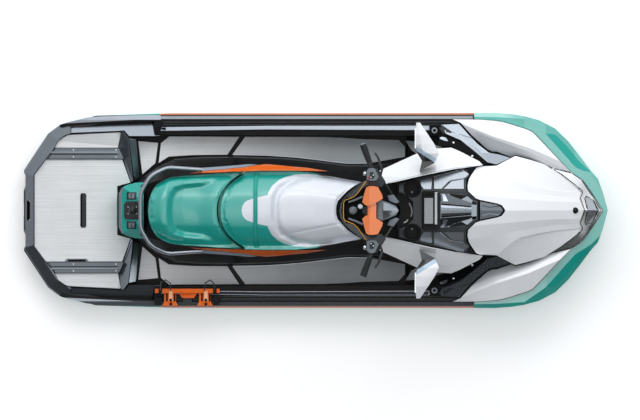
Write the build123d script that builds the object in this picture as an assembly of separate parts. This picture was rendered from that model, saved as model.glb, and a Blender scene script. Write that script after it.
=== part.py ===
from build123d import *
import os
from math import sin, cos, radians

# A three-seat personal watercraft with a long rear deck.
# Millimetres. +X is the bow, +Y is port, +Z is up.
# The origin is at the waterline, on the centreline, at half the length.

# ---- driving dimensions -------------------------------------------------
length = 3580            # stern handle to bow bumper
beam = 1194              # over the hull flange
draft = 300              # keel below the waterline
flange_stern = 108       # hull flange above the waterline at the stern
flange_bow = 262         # and at the bow
floor_height = 84        # footwell floor above the waterline
rear_deck_height = 148   # top of the rear deck moulding
front_deck_height = 262  # top of the front deck moulding
deck_rise = 82           # gunwale top above the flange
seat_front = 505         # lowest point of the front seat top
seat_rear = 572          # rear seat top
seat_bolster = 612       # top of the rear bolster
grip_height = 800        # handlebar grips above the waterline
bumper_height = 62       # side bumper section
mat_thickness = 12
panel_gap = 8            # shut line between neighbouring panels
seat_gap = 3             # between the cushions and what they touch
moving_gap = 7           # between a moving piece and a fixed one
hood_thickness = 34
cowl_thickness = 46
bin_wall = 8
rail_radius = 13         # grab rail tube
bar_radius = 11          # handlebar tube
grip_radius = 17
grip_length = 118
cup_radius = 42
cup_depth = 78
cup_wall = 3
cup_x = 592
cup_y = 133
ball_radius = 25         # 50 mm tow ball
ball_x = -1112
ball_height = 468
pump_axis = -168         # height of the jet pump's centreline
pump_bore = 78           # impeller runs in this radius
pump_wall = 12
blade_gap = 3
nozzle_bore = 46
nozzle_wall = 9
steering_lean = 24       # steering axis leans aft by this many degrees
engine_size = (620, 340, 230)
step_hinge_x = -1766     # boarding step, hinged under the stern
step_hinge_z = 70
step_reach = 112
step_half = 150
step_radius = 9

# ---- plan outlines are drawn for this craft and stretched to the size above
drawn_length = 3580
drawn_beam = 1194
along = length / drawn_length
across = beam / drawn_beam


def sx(x):
    """A place along the craft, stretched with the length."""
    return x * along


def sy(y):
    """A place across the craft, stretched with the beam."""
    return y * across


def outline(points):
    """A flat face with the given plan outline."""
    corners = [(sx(x), sy(y)) for x, y in points]
    return make_face(Polyline(*corners, close=True))


def mirrored(points):
    """Port-side points from aft to forward, closed over the centreline."""
    other = [(x, -y) for x, y in reversed(points) if abs(y) > 0.01]
    return points + other


def prism(points, low, high, inset=0):
    """The outline extruded from one height to another."""
    face = outline(points)
    if inset:
        face = offset(face, -inset, kind=Kind.INTERSECTION)
    return Pos(0, 0, low) * extrude(face, high - low)


def section(x, points):
    """A face across the craft at one station."""
    station = sx(x)
    return make_face(Polyline(*[(station, sy(y), z) for y, z in points], close=True))


def crown(stations, base):
    """A symmetric body whose top runs through the half-sections given for each station."""
    faces = []
    for x, half in stations:
        top = [(-y, z) for y, z in reversed(half) if y > 0] + half
        widest = half[-1][0]
        faces.append(section(x, [(-widest, base)] + top + [(widest, base)]))
    return loft(faces, ruled=True)


def side_body(stations, base):
    """A port-side body whose top runs through the sections given for each station."""
    faces = []
    for x, top in stations:
        faces.append(section(x, [(top[0][0], base)] + top + [(top[-1][0], base)]))
    return loft(faces, ruled=True)


def profile(points, half_width):
    """A body with the given side profile, as wide as asked."""
    corners = [(sx(x), -half_width, z) for x, z in points]
    face = make_face(Polyline(*corners, close=True))
    return extrude(face, 2 * half_width, dir=(0, 1, 0))


def below_slope(start, end, z, angle):
    """Everything below a plane that rises, to the left of the plan line from start to end, from height z."""
    p, q = Vector(sx(start[0]), sy(start[1]), z), Vector(sx(end[0]), sy(end[1]), z)
    line = (q - p).normalized()
    uphill = Vector(-line.Y, line.X, 0)
    normal = Vector(0, 0, 1) * cos(radians(angle)) - uphill * sin(radians(angle))
    return Plane(origin=(p + q) * 0.5, x_dir=line, z_dir=normal) * Pos(0, 0, -800) * Box(6000, 6000, 1600)


def tube(points, radius, bends):
    """A round bar along straight runs joined by arcs."""
    path = FilletPolyline(*points, radius=bends)
    ring = Plane(origin=path @ 0, z_dir=path % 0) * Circle(radius)
    return sweep(ring, path=path)


def bar(points, radius, sides=8):
    """A slim bar along straight runs with mitred corners, its section a polygon."""
    path = Polyline(*points)
    ring = Plane(origin=path @ 0, z_dir=path % 0) * RegularPolygon(radius, sides)
    return sweep(ring, path=path, transition=Transition.RIGHT)


def rod(start, end, radius):
    """A straight round bar from one point to another."""
    run = Vector(*end) - Vector(*start)
    return extrude(Plane(origin=start, z_dir=run) * Circle(radius), run.length)


def block(x0, x1, y0, y1, z0, z1):
    """A rectangular block between two corners."""
    return Pos((x0 + x1) / 2, (y0 + y1) / 2, (z0 + z1) / 2) * Box(x1 - x0, y1 - y0, z1 - z0)


def starboard(solid):
    """The starboard twin of a port piece."""
    return mirror(solid, about=Plane.XZ)


def flange_z(x):
    """Height of the hull flange along the craft."""
    knots = [(-1790, flange_stern), (-900, flange_stern + 14), (0, flange_stern + 34)]
    knots += [(900, flange_stern + 86), (1790, flange_bow)]
    for (xa, za), (xb, zb) in zip(knots, knots[1:]):
        if x <= xb:
            return za + (zb - za) * (x - xa) / (xb - xa)
    return flange_bow


def above_flange(lift=0):
    """Everything above the hull flange."""
    knots = [-1790, -900, 0, 900, 1790]
    line = [(x, flange_z(x) + lift) for x in knots]
    return profile([(-2200, 1600), (-2200, line[0][1])] + line + [(2200, line[-1][1]), (2200, 1600)], 900)


# ---- plan outlines --------------------------------------------------------
flange_plan = [(-1600, 500), (-1500, 540), (-1400, 566), (-1365, 575), (-1350, 584), (-1200, 590), (-900, 597)]
flange_plan += [(1000, 597), (1200, 548), (1400, 470), (1550, 375), (1680, 215), (1762, 60)]

deck_plan = [(-1727, 0), (-1727, 222), (-1655, 315), (-1603, 383), (-1560, 470), (-1500, 502), (-1300, 535)]
deck_plan += [(-1000, 550), (-950, 545), (1000, 545), (1150, 530), (1330, 470), (1400, 400), (1500, 292), (1570, 220)]
deck_plan += [(1632, 170), (1690, 88), (1745, 0)]

ramp_plan = [(-1260, 0), (-1260, 474), (-1000, 470), (-1000, 0)]
footwell_plan = [(-1062, 0), (-1062, 470), (740, 458), (800, 420), (800, 300), (800, 0)]

frame_outer = [(-1781, 0), (-1790, 40), (-1790, 125), (-1779, 150), (-1779, 215), (-1788, 235), (-1788, 248)]
frame_outer += [(-1640, 472), (-1565, 528), (-1540, 530), (-1500, 511)]
frame_inner = [(-1500, 475), (-1540, 460), (-1578, 430), (-1603, 383), (-1655, 315), (-1727, 222), (-1727, 0)]
side_block_plan = [(-1496, 477), (-1496, 512), (-1300, 522), (-1100, 531), (-950, 534), (-942, 528), (-953, 457)]
side_block_plan += [(-1140, 457), (-1172, 492), (-1200, 489)]

hood_plan = [(1155, 5), (1135, 32), (1110, 42), (1000, 65), (975, 75), (930, 118), (927, 150), (935, 190)]
hood_plan += [(950, 215), (980, 258), (1000, 268), (1105, 273), (1200, 322), (1222, 333), (1300, 313)]
hood_plan += [(1400, 283), (1440, 257), (1500, 220), (1600, 140), (1625, 118), (1627, 105), (1612, 75), (1640, 0)]

nose_plan = [(1645, 0), (1617, 75), (1632, 107), (1630, 122), (1605, 146), (1505, 226), (1446, 262)]
nose_plan += [(1570, 232), (1628, 193), (1692, 98), (1757, 0)]

cowl_plan = [(393, 243), (622, 348), (735, 377), (830, 383), (880, 362), (1000, 300), (1022, 276), (960, 268)]
cowl_plan += [(900, 258), (850, 252), (700, 222), (600, 200), (500, 176), (430, 162), (415, 190)]

arm_plan = [(770, 462), (850, 432), (920, 403), (960, 373), (1050, 283), (1024, 278), (1004, 305), (884, 368)]
arm_plan += [(834, 390), (745, 400)]

inner_plan = [(770, 524), (880, 530), (945, 455), (995, 404), (1062, 352), (1125, 341), (1192, 320), (1105, 281)]
inner_plan += [(1055, 294), (932, 408), (882, 433), (800, 470)]

fender_plan = [(842, 558), (1000, 556), (1100, 548), (1150, 540), (1200, 525), (1290, 497), (1328, 480)]
fender_plan += [(1396, 409), (1496, 301), (1562, 236), (1437, 266), (1303, 320), (1225, 340), (1200, 328)]
fender_plan += [(1112, 361), (1068, 363), (957, 462), (890, 537)]

side_bumper_plan = [(-1534, 532), (-1525, 539), (-1400, 571), (-1355, 576), (-1200, 583), (-1000, 587), (-952, 585)]
side_bumper_plan += [(-946, 582), (966, 582), (966, 540), (-950, 540), (-1200, 538), (-1350, 531), (-1480, 522)]
side_bumper_plan += [(-1500, 518)]

bumper_outer = [(974, 596), (1025, 597), (1100, 597), (1200, 590), (1280, 577), (1370, 553), (1470, 502)]
bumper_outer += [(1550, 425), (1620, 335), (1690, 240), (1730, 195), (1760, 110), (1785, 20), (1790, 0)]
bow_seam = [(1762, 0), (1700, 100), (1640, 185), (1570, 232), (1500, 305), (1400, 413), (1330, 485)]
bow_seam += [(1290, 502), (1200, 530), (1150, 545), (1100, 553), (974, 560)]

core_plan = [(500, 0), (500, 150), (470, 250), (622, 325), (735, 355), (830, 360), (880, 340), (985, 285)]
core_plan += [(985, 250), (905, 200), (905, 100), (985, 60), (985, 0)]

dash_plan = [(512, 0), (512, 160), (600, 192), (700, 214), (850, 243), (922, 250), (940, 214), (919, 190)]
dash_plan += [(919, 118), (968, 74), (992, 60), (992, 0)]

rear_seat_plan = [(-1022, 0), (-1015, 60), (-1000, 110), (-970, 165), (-925, 195), (-880, 213), (-800, 224)]
rear_seat_plan += [(-700, 230), (-600, 237), (-430, 243)]
front_seat_plan = [(-418, 243), (-330, 250), (-110, 250), (0, 240), (70, 226), (200, 200), (300, 180)]
front_seat_plan += [(245, 150), (200, 118), (170, 85), (150, 55), (143, 30), (140, 0)]


# ---- hull and what hangs on it ---------------------------------------------
transom = -1600


def hull_stations():
    """Half-sections of the hull from keel to flange at each station."""
    rows = [(-1600, -draft, 250, 545, -96, 505), (-1350, -draft, 250, 552, -96, 583), (-900, -draft, 250, 556, -94, 597)]
    rows += [(0, -draft, 250, 556, -84, 597), (600, -draft + 6, 245, 545, -48, 597), (1000, -draft + 24, 225, 500, 12, 597)]
    rows += [(1250, -draft + 66, 185, 425, 74, 530), (1450, -draft + 140, 130, 320, 132, 440)]
    rows += [(1600, -draft + 250, 75, 205, 178, 322), (1700, -draft + 372, 34, 96, 212, 182), (1755, -draft + 470, 12, 34, 236, 70)]
    return rows


def strake_step(x, keel, y_strake, chine_y, chine_z):
    """Height of the bottom at the strake, on the straight line from keel to chine."""
    return keel + (chine_z - keel) * y_strake / chine_y


def hull_mass():
    """The outer shape of the hull from keel to above the flange, with a lifting strake and a chine."""
    faces = []
    for x, keel, y_strake, chine_y, chine_z, flange_y in hull_stations():
        z_strake = strake_step(x, keel, y_strake, chine_y, chine_z)
        drop = 0.07 * y_strake
        half = [(0, keel), (y_strake, z_strake - drop), (y_strake + drop, z_strake)]
        chine_y = min(chine_y, flange_y - 4)
        half += [(chine_y, chine_z - 0.04 * chine_y), (chine_y + 3, chine_z + 0.05 * chine_y)]
        half += [(flange_y, flange_z(x) - 30), (flange_y, flange_z(x) + 40)]
        other = [(-y, z) for y, z in reversed(half) if y > 0]
        faces.append(section(x, half + other))
    return loft(faces, ruled=True)


def footwell_ramp(grow):
    """The two-step slope from the rear deck down to the footwell floor."""
    floor = floor_height - grow
    faces = []
    for y, top, knee, foot in ((-482, -1194, -1153, -1101), (-165, -1128, -1116, -1078),
                               (165, -1128, -1116, -1078), (482, -1194, -1153, -1101)):
        side = [(top - grow, 1600), (top - grow, rear_deck_height + 2), (knee - grow, floor + 28)]
        side += [(foot - grow, floor), (-1000, floor), (-1000, 1600)]
        corners = [(sx(x), sy(y), z) for x, z in side]
        faces.append(make_face(Polyline(*corners, close=True)))
    return loft(faces, ruled=True)


def footwell_trough(grow):
    """The space above the footwell floors, from the ramp aft to the toe ramps forward."""
    floor = floor_height - grow
    side = [(-1062, 1600), (-1062, floor), (560, floor), (800 + grow, front_deck_height + 8)]
    side += [(800 + grow, 1600)]
    middle = profile(side, 900) & prism(mirrored(footwell_plan), -200, 1600, -grow)
    return middle + (footwell_ramp(grow) & prism(mirrored(ramp_plan), -200, 1600, -grow))


tunnel_length = 690
tunnel_half = 124


def pump_tunnel():
    """The open tunnel under the stern that holds the jet pump, with its sloping intake roof."""
    roof = pump_axis + pump_bore + pump_wall + 14
    back = transom - 50
    side = [(back, -draft - 50), (back, roof), (transom + 300, roof), (transom + tunnel_length, -draft - 50)]
    corners = [(x, -tunnel_half, z) for x, z in side]
    return extrude(make_face(Polyline(*corners, close=True)), 2 * tunnel_half, dir=(0, 1, 0))


engine_place = (-560, 0, -75)


def make_hull():
    """The closed hull, with the pump tunnel and the engine bay cut out of it."""
    hull = hull_mass() - above_flange() - footwell_trough(14) - pump_tunnel()
    hull -= prism(mirrored(bin_plan()), bin_floor() - 6, 900, -2)
    length_e, width_e, height_e = engine_size
    bay = Box(length_e + 60, width_e + 40, height_e + 36)
    return hull - Pos(*engine_place) * bay


def make_engine():
    """The engine as one plain block at its real place."""
    engine = Pos(*engine_place) * Box(*engine_size)
    return engine


def make_deck():
    """The deck moulding: rear platform, gunwales, footwells and the front deck."""
    deck = (gunwale_body() & prism(mirrored(deck_plan), 0, 900)) & above_flange()
    trough = footwell_trough(12) & profile([(-1790, -100), (-1790, 190), (1790, 190), (1790, -100)], 900)
    deck = deck + (trough - above_flange())
    deck -= footwell_trough(0) + pedestal_body(2)
    deck -= prism(mirrored(bin_plan()), bin_floor() - 1, 900, -2)
    return deck


def side_bumper_space():
    """The space that the port side bumper and a small seam take."""
    return prism(side_bumper_plan, 0, 900, -1) - above_flange(bumper_height + 1)


def make_side_bumper():
    """The port side bumper, seated on the flange, its outer face falling away."""
    rows = []
    for x in (-1790, -900, 0, 900, 1790):
        top = flange_z(x) + bumper_height
        rows.append((x, [(400, top), (557, top), (600, top - 28)]))
    return (prism(side_bumper_plan, 0, 500) & side_body(rows, 0) & above_flange()) - deck_outer()


def deck_outer():
    """A plain body with the deck's plan outline."""
    return prism(mirrored(deck_plan), -50, 900)


def inside_bumper():
    """The space that the bow bumper and a small seam take, both sides."""
    port = prism(bumper_outer + bow_seam, 0, 900, -2)
    return port + starboard(port)


def bumper_top():
    """The bow bumper's upper surface: a level band inboard and a face that falls outboard."""
    rows = [(900, [(500, 270), (574, 270), (620, 256)])]
    rows += [(1100, [(480, 296), (572, 296), (610, 280)])]
    rows += [(1280, [(440, 316), (560, 314), (600, 294)])]
    rows += [(1412, [(350, 322), (468, 320), (560, 268)])]
    rows += [(1590, [(150, 322), (268, 320), (420, 238)])]
    rows += [(1690, [(0, 322), (206, 318), (270, 278)])]
    rows += [(1800, [(0, 320), (96, 318), (160, 300)])]
    return side_body(rows, 100)


def make_bow_bumper():
    """The wrap-around bumper at the bow."""
    side = [(900, flange_z(900)), (1790, flange_z(1790)), (1790, 400), (900, 400)]
    port = prism(bumper_outer + bow_seam, 0, 900) & bumper_top()
    whole = port + starboard(port)
    return (whole & profile(side, 900)) - deck_outer()


# ---- rear deck ---------------------------------------------------------------
frame_top = 186
frame_slope = 31         # its top falls outwards by this many degrees


def make_rear_deck_frame():
    """The dark frame round the rear deck, with the hand slot and the boarding step's hinge lugs."""
    port = prism(frame_outer + frame_inner, flange_stern - 22, frame_top)
    port &= below_slope((-1788, 248), (-1788, 0), frame_top - 38, frame_slope)
    port &= below_slope((-1640, 472), (-1788, 248), frame_top - 44, frame_slope)
    port &= below_slope((-1540, 540), (-1640, 472), frame_top - 42, frame_slope)
    frame = port + starboard(port)
    frame -= block(sx(-1770), sx(-1750), -60, 60, 0, 400)
    keep_off = prism(mirrored(deck_plan), -50, rear_deck_height + 0.3, -0.5)
    frame = frame - keep_off - (hull_mass() - above_flange())
    low = step_hinge_z - step_radius - 5
    for y in (step_half + step_radius + 2, -step_half - step_radius - 14):
        lug = block(step_hinge_x - 14, step_hinge_x + 14, y, y + 12, low, flange_stern - 20)
        frame += lug - rod((step_hinge_x, y - 5, step_hinge_z), (step_hinge_x, y + 17, step_hinge_z), step_radius + 0.3)
    return frame


def make_side_block():
    """The light block beside the rear deck, port side."""
    side = [(-1500, 0), (-1500, frame_top), (-1172, frame_top + 8), (-1140, frame_top + 22), (-930, frame_top + 34)]
    block_body = prism(side_block_plan, 0, 900) & profile(side + [(-930, 0)], 900)
    block_body &= below_slope((-950, 536), (-1496, 516), frame_top - 26, frame_slope)
    return block_body - gunwale_body() - side_bumper_space() - (hull_mass() - above_flange())


def make_rear_mats():
    """The foam mats on the rear deck: one in the middle and one along each side."""
    top = rear_deck_height + mat_thickness
    centre = [(-1722, 0), (-1722, 220), (-1652, 313), (-1185, 313), (-1134, 172), (-1215, 150), (-1215, 0)]
    side = [(-1598, 386), (-1575, 428), (-1536, 456), (-1515, 464), (-1203, 480), (-1193, 476), (-1211, 386)]
    mats = prism(mirrored(centre), rear_deck_height, top)
    mats -= block(sx(-1443), sx(-1404), -107, 107, rear_deck_height + 3, 400)
    port = prism(side, rear_deck_height, top)
    return [mats, port, starboard(port)]


def make_rear_rails():
    """The two raised rails between the mats."""
    plan = [(-1646, 318), (-1602, 376), (-1590, 382), (-1205, 382), (-1175, 318)]
    rail = prism(plan, rear_deck_height, rear_deck_height + 28)
    return [rail, starboard(rail)]


# ---- seat, pedestal and tail --------------------------------------------------
def pedestal_body(grow=0):
    """The seat base: wide at the floor and narrower under the cushions."""
    rows = [(-1092, 180, 130, 360), (-1060, 205, 150, 400), (-965, 275, 180, 470), (-860, 322, 205, 472)]
    rows += [(-700, 333, 225, 468), (-500, 336, 238, 440), (-200, 327, 240, 400), (0, 308, 230, 392)]
    rows += [(200, 283, 205, 400), (350, 283, 190, 430), (496, 300, 170, 470)]
    faces = []
    for x, foot, shoulder, top in rows:
        foot, shoulder, top = foot + grow, shoulder + grow, top + grow
        half = [(foot, floor_height), (foot - 12, 210), (shoulder, top)]
        other = [(-y, z) for y, z in reversed(half)]
        faces.append(section(x, half + other))
    return loft(faces, ruled=True)


def make_seat_base():
    """The pedestal under the seat, black, standing on the footwell floor."""
    return pedestal_body()


def cushion_mass():
    """The outer shape of both cushions together."""
    rows = [(-1030, 120, 560, 440), (-1000, 190, 596, 455), (-905, 215, seat_bolster, 472 + seat_gap)]
    rows += [(-800, 228, seat_rear + 6, 470 + seat_gap), (-600, 240, seat_rear - 10, 452 + seat_gap)]
    rows += [(-400, 250, seat_front + 30, 426 + seat_gap), (-200, 254, seat_front + 4, 403 + seat_gap)]
    rows += [(0, 245, seat_front, 400 + seat_gap), (150, 224, seat_front + 14, 402 + seat_gap)]
    rows += [(310, 190, seat_front + 44, 424 + seat_gap)]
    faces = []
    for x, half_width, top, low in rows:
        half = [(half_width, low), (half_width, top - 72), (0.9 * half_width, top - 42)]
        half += [(0.7 * half_width, top - 20), (0.4 * half_width, top - 5)]
        other = [(-y, z) for y, z in reversed(half)]
        faces.append(section(x, half + other))
    return loft(faces, ruled=True)


def make_rear_seat():
    """The rear cushion with its bolster."""
    plan = mirrored(rear_seat_plan)
    body = cushion_mass() & prism(plan, 300, 900, 2)
    body -= Pos(sx(-335), 0, 500) * Cylinder(250 + seat_gap, 800)
    body -= block(sx(-440), sx(400), -400, 400, 300, 900)
    return body - pedestal_body()


def make_front_seat():
    """The front cushion, its rear end rounded into the rear cushion."""
    body = cushion_mass() & prism(mirrored([(-600, 0), (-600, 245)] + front_seat_plan[1:]), 300, 900, 2)
    arc = (Pos(sx(-335), 0, 500) * Cylinder(250, 800)) + block(sx(-436), sx(400), -400, 400, 300, 900)
    return (body & arc) - pedestal_body()


def make_grab_rail():
    """The tube that wraps round the back of the seat."""
    half = [(-690, 248, 455), (-900, 262, 492), (-1002, 212, 520), (-1062, 108, 528)]
    points = [(sx(x), sy(y), z) for x, y, z in half]
    points += [(sx(x), -sy(y), z) for x, y, z in reversed(half)]
    return tube(points, rail_radius, 130)


tail_plan = [(-1205, 0), (-1205, 95), (-1180, 138), (-1150, 155), (-1096, 170), (-1046, 172), (-1046, 0)]
hitch_level = 404


def make_tail_cover():
    """The painted cover behind the seat, with the well for the tow mount."""
    on_mats = rear_deck_height + mat_thickness
    side = [(-1205, on_mats), (-1205, 300), (-1180, 392), (-1120, 432), (-1046, 446), (-1046, on_mats)]
    across_tail = [(0, 450), (60, 448), (116, 424), (172, 360), (180, 300)]
    shell = crown([(-1250, across_tail), (-1000, across_tail)], 100)
    cover = profile(side, 900) & prism(mirrored(tail_plan), 0, 900) & shell
    return cover - block(sx(-1171), sx(-1062), -57, 57, hitch_level, 900) - pedestal_body(1)


def make_tow_mount():
    """The tow mount: a plate in the tail cover's well with a ball on a stem."""
    plate = [(-1166, 0), (-1166, 40), (-1156, 52), (-1078, 52), (-1068, 40), (-1068, 0)]
    base = prism(mirrored(plate), hitch_level + 0.5, hitch_level + 24)
    low = ball_height - 46
    half = [(0, low), (12, low), (12, ball_height - 22)]
    for turn in range(-45, 90, 30):
        half.append((ball_radius * cos(radians(turn)), ball_height + ball_radius * sin(radians(turn))))
    half.append((0, ball_height + ball_radius))
    face = make_face(Polyline(*[(r, 0, z) for r, z in half], close=True))
    return base + Pos(sx(ball_x), 0, 0) * revolve(face, axis=Axis.Z)


# ---- front: console, cowls, fenders, hood and nose -----------------------------
dash_top = 560
cup_rim = 4              # the cups stand this far above the dash
core_top = dash_top + cup_rim - cup_depth - 2
panel_lift = 5


def hood_top(drop=0):
    """The surface of the hood and nose, lowered by the amount given."""
    rows = [(900, [(0, 620), (100, 597), (188, 557), (262, 494), (268, 488), (345, 412)])]
    rows += [(1000, [(0, 604), (90, 583), (168, 548), (266, 490), (272, 482), (345, 404)])]
    rows += [(1115, [(0, 580), (80, 561), (146, 530), (264, 474), (272, 464), (345, 398)])]
    rows += [(1192, [(0, 563), (74, 546), (131, 518), (200, 494), (208, 482), (345, 394)])]
    rows += [(1250, [(0, 548), (68, 532), (120, 508), (164, 493), (172, 478), (345, 388)])]
    rows += [(1355, [(0, 517), (60, 503), (104, 482), (141, 469), (149, 455), (345, 370)])]
    rows += [(1455, [(0, 479), (54, 467), (88, 449), (122, 438), (130, 427), (345, 348)])]
    rows += [(1602, [(0, 414), (50, 404), (84, 389), (110, 380), (116, 374), (345, 318)])]
    rows += [(1660, [(0, 390), (50, 378), (80, 366), (106, 357), (112, 354), (345, 312)])]
    rows += [(1790, [(0, 326), (50, 320), (80, 316), (106, 312), (112, 311), (345, 300)])]
    lowered = [(x, [(y, z - drop) for y, z in half]) for x, half in rows]
    return crown(lowered, 100)


def make_hood():
    """The hinged hood, as thick as the whole lid."""
    shape = prism(mirrored(hood_plan), 100, 900)
    return (hood_top() & shape) - hood_top(hood_thickness)


def bin_floor():
    return 60


def bin_plan():
    """Plan of the storage bin under the hood."""
    return [(1170, 0), (1170, 200), (1230, 280), (1300, 265), (1400, 225), (1470, 180), (1545, 110), (1560, 0)]


def make_bin():
    """The open storage bin that the hood closes."""
    tub = prism(mirrored(bin_plan()), bin_floor(), 900)
    tub -= prism(mirrored(bin_plan()), bin_floor() + bin_wall, 900, bin_wall)
    return tub & hood_top(hood_thickness + moving_gap)


def make_nose_panel():
    """The gloss black nose between the hood and the bow bumper."""
    port = prism(nose_plan, front_deck_height + 22, 900)
    whole = port + starboard(port)
    lens = prism(mirrored(lens_plan), 300, 900, -1)
    return ((whole & hood_top(4)) - (lens - hood_top(16))) - inside_bumper()


lens_plan = [(1662, 0), (1648, 74), (1655, 86), (1688, 76), (1702, 62), (1728, 0)]


def make_nose_lens():
    """The clear lens let into the nose panel."""
    return (prism(mirrored(lens_plan), 300, 900, 0.5) & hood_top(2)) - hood_top(15.5)


def cowl_top(drop=0):
    """The surface of the side cowls."""
    rows = [(380, [(150, 560), (200, 540), (262, 470), (400, 420)])]
    rows += [(600, [(150, 640), (210, 606), (300, 500), (400, 430)])]
    rows += [(735, [(150, 650), (235, 622), (330, 500), (400, 436)])]
    rows += [(880, [(150, 640), (262, 560), (340, 470), (400, 430)])]
    rows += [(1040, [(150, 610), (262, 500), (340, 452), (400, 430)])]
    lowered = [(x, [(y, z - drop) for y, z in half]) for x, half in rows]
    return side_body(lowered, 100)


def make_side_cowl():
    """The white cowl beside the dash, port side."""
    return (prism(cowl_plan, 300, 900) & cowl_top()) - cowl_top(cowl_thickness)


def shoulder_top(lift=0):
    """The sloping surface outboard of the hood."""
    rows = []
    for x in (690, 1300):
        rows.append((x, [(240, 470 + lift), (350, 396 + lift), (460, 340 + lift), (560, 292 + lift)]))
    return side_body(rows, 100)


def make_inner_panel():
    """The grey panel between the fender and the support arm, port side."""
    return (prism(inner_plan, 200, 900) & shoulder_top()) - gunwale_body()


def gunwale_body():
    """The deck's outer body under the front panels."""
    top = [(-1790, rear_deck_height), (-1004, rear_deck_height), (-986, flange_z(-986) + deck_rise)]
    top += [(900, flange_z(900) + deck_rise - 20), (1100, front_deck_height), (1790, front_deck_height + 20)]
    return profile([(-1790, 0)] + top + [(1790, 0)], 900)


def make_support_arm():
    """The black arm with its tie-down eye, port side."""
    arm = (prism(arm_plan, 300, 900) & shoulder_top(26)) - shoulder_top(-40)
    eye = prism([(700, 470), (700, 508), (764, 508), (800, 456), (768, 448)], flange_z(700) + deck_rise, flange_z(700) + deck_rise + 60)
    hole = Pos(sx(730), sy(489), 0) * Cylinder(9, 1200)
    return arm + (eye - hole)


def make_fender():
    """The fender over the bow quarter, port side, with its long crease."""
    rows = [(830, [(400, 262), (532, 298), (545, 302), (600, 264)])]
    rows += [(885, [(400, 262), (519, 314), (535, 324), (600, 286)])]
    rows += [(1000, [(400, 268), (474, 350), (488, 358), (600, 306)])]
    rows += [(1100, [(355, 286), (433, 372), (448, 380), (600, 318)])]
    rows += [(1300, [(300, 306), (362, 384), (384, 394), (560, 320)])]
    rows += [(1500, [(200, 310), (262, 370), (298, 382), (400, 332)])]
    rows += [(1575, [(180, 310), (222, 346), (244, 354), (330, 316)])]
    fender = (prism(fender_plan, 200, 900) & side_body(rows, 100)) - gunwale_body()
    return fender - inside_bumper() - side_bumper_space()


def make_core():
    """The black core under the dash and cowls, standing on the front deck."""
    low = prism(mirrored(core_plan), 90, core_top)
    side = [(480, floor_height + mat_thickness), (560, floor_height + mat_thickness), (800, front_deck_height + 10)]
    side += [(1000, front_deck_height + 10), (1000, core_top), (480, core_top)]
    core = low & profile(side, 900)
    cowl = prism(cowl_plan, 300, 900, -1) - cowl_top(cowl_thickness + 1)
    hood = prism(mirrored(hood_plan), 100, 900, -moving_gap)
    return core - deck_under() - pedestal_body(1) - cowl - starboard(cowl) - hood


def deck_under():
    """What lies under the console core: the front deck."""
    return gunwale_body() - footwell_trough(0)


def dash_surface(lift=0):
    """The dash moulding's upper surface: level in the middle and falling outboard."""
    half = [(0, dash_top + lift), (116, dash_top + lift), (262, dash_top - 44 + lift)]
    return crown([(480, half), (1010, half)], 300)


def make_dash():
    """The dash moulding, with two cup wells and the opening round the steering column."""
    dash = prism(mirrored(dash_plan), core_top + 1, 900) & dash_surface()
    cups = Pos(sx(cup_x), cup_y, dash_top) * Cylinder(cup_radius + cup_wall + 0.5, 4 * cup_depth)
    well = prism(mirrored([(505, 0), (505, 112), (530, 108), (560, 90), (597, 53), (597, 0)]), 300, 900)
    return dash - cups - starboard(cups) - well


side_panel_plan = [(724, 132), (724, 200), (880, 243), (903, 243), (936, 222), (914, 200), (822, 186), (768, 132)]
pocket_panel_plan = [(782, 132), (828, 176), (904, 190), (904, 132)]
fan_panel_plan = [(645, 152), (640, 184), (704, 200), (712, 192), (706, 130), (662, 130)]


def make_dash_panels():
    """The thin panels let on to the dash beside the meter, three each side."""
    panels = []
    for plan in (side_panel_plan, pocket_panel_plan, fan_panel_plan):
        panel = (prism(plan, 300, 900) & dash_surface(panel_lift)) - dash_surface(0.2)
        panels += [panel, starboard(panel)]
    return panels


def make_cup_holders():
    """The two cups let into the dash."""
    low = dash_top + cup_rim - cup_depth
    cup = Pos(sx(cup_x), cup_y, low + cup_depth / 2) * Cylinder(cup_radius + cup_wall, cup_depth)
    cup -= Pos(sx(cup_x), cup_y, low + cup_depth / 2 + cup_wall) * Cylinder(cup_radius, cup_depth)
    return [cup, starboard(cup)]


def make_meter():
    """The meter in its surround, tilted towards the rider, with the bar in front of it."""
    on_dash = dash_top + 0.5
    side = [(650, on_dash), (650, dash_top + 26), (655, dash_top + 34), (722, dash_top + 62)]
    side += [(728, dash_top + 54), (750, dash_top + 48), (754, on_dash)]
    corners = [(650, -110), (658, -118), (746, -118), (754, -110)]
    plan = corners + [(x, -y) for x, y in reversed(corners)]
    return profile(side, 900) & prism(plan, 0, 900)


def make_console_lid():
    """The long lid between the meter and the hood, with its rounded spine."""
    on_dash = dash_top + 0.5
    plan = [(763, 0), (763, 103), (915, 94), (955, 62), (982, 52), (982, 0)]
    base = prism(mirrored(plan), on_dash, dash_top + 22)
    wide = [(0, dash_top + 44), (18, dash_top + 41), (34, dash_top + 33), (46, dash_top + 20)]
    slim = [(0, dash_top + 36), (12, dash_top + 34), (22, dash_top + 29), (30, dash_top + 20)]
    spine = crown([(766, wide), (950, slim)], dash_top + 10)
    latch = prism([(960, -40), (960, 40), (976, 30), (976, -30)], dash_top + 10, dash_top + 30)
    return base + spine + latch


def make_hood_duct():
    """The black duct in the hood's notch."""
    plan = [(1003, 0), (1003, 55), (1108, 34), (1128, 22), (1143, 0)]
    return (prism(mirrored(plan), 300, 900) & hood_top(10)) - hood_top(60)


# ---- steering -------------------------------------------------------------------
steer_x = 372
steer_z = 640
column_radius = 24


def steering_axis():
    """Unit vector up the steering column, leaning aft."""
    return (-sin(radians(steering_lean)), 0, cos(radians(steering_lean)))


def bar_half():
    """The port half of the handlebar's line, from the grip's end to the middle."""
    up = grip_height
    return [(292, 392, up - 4), (337, 268, up), (346, 168, up - 22), (338, 70, up - 22)]


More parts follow.
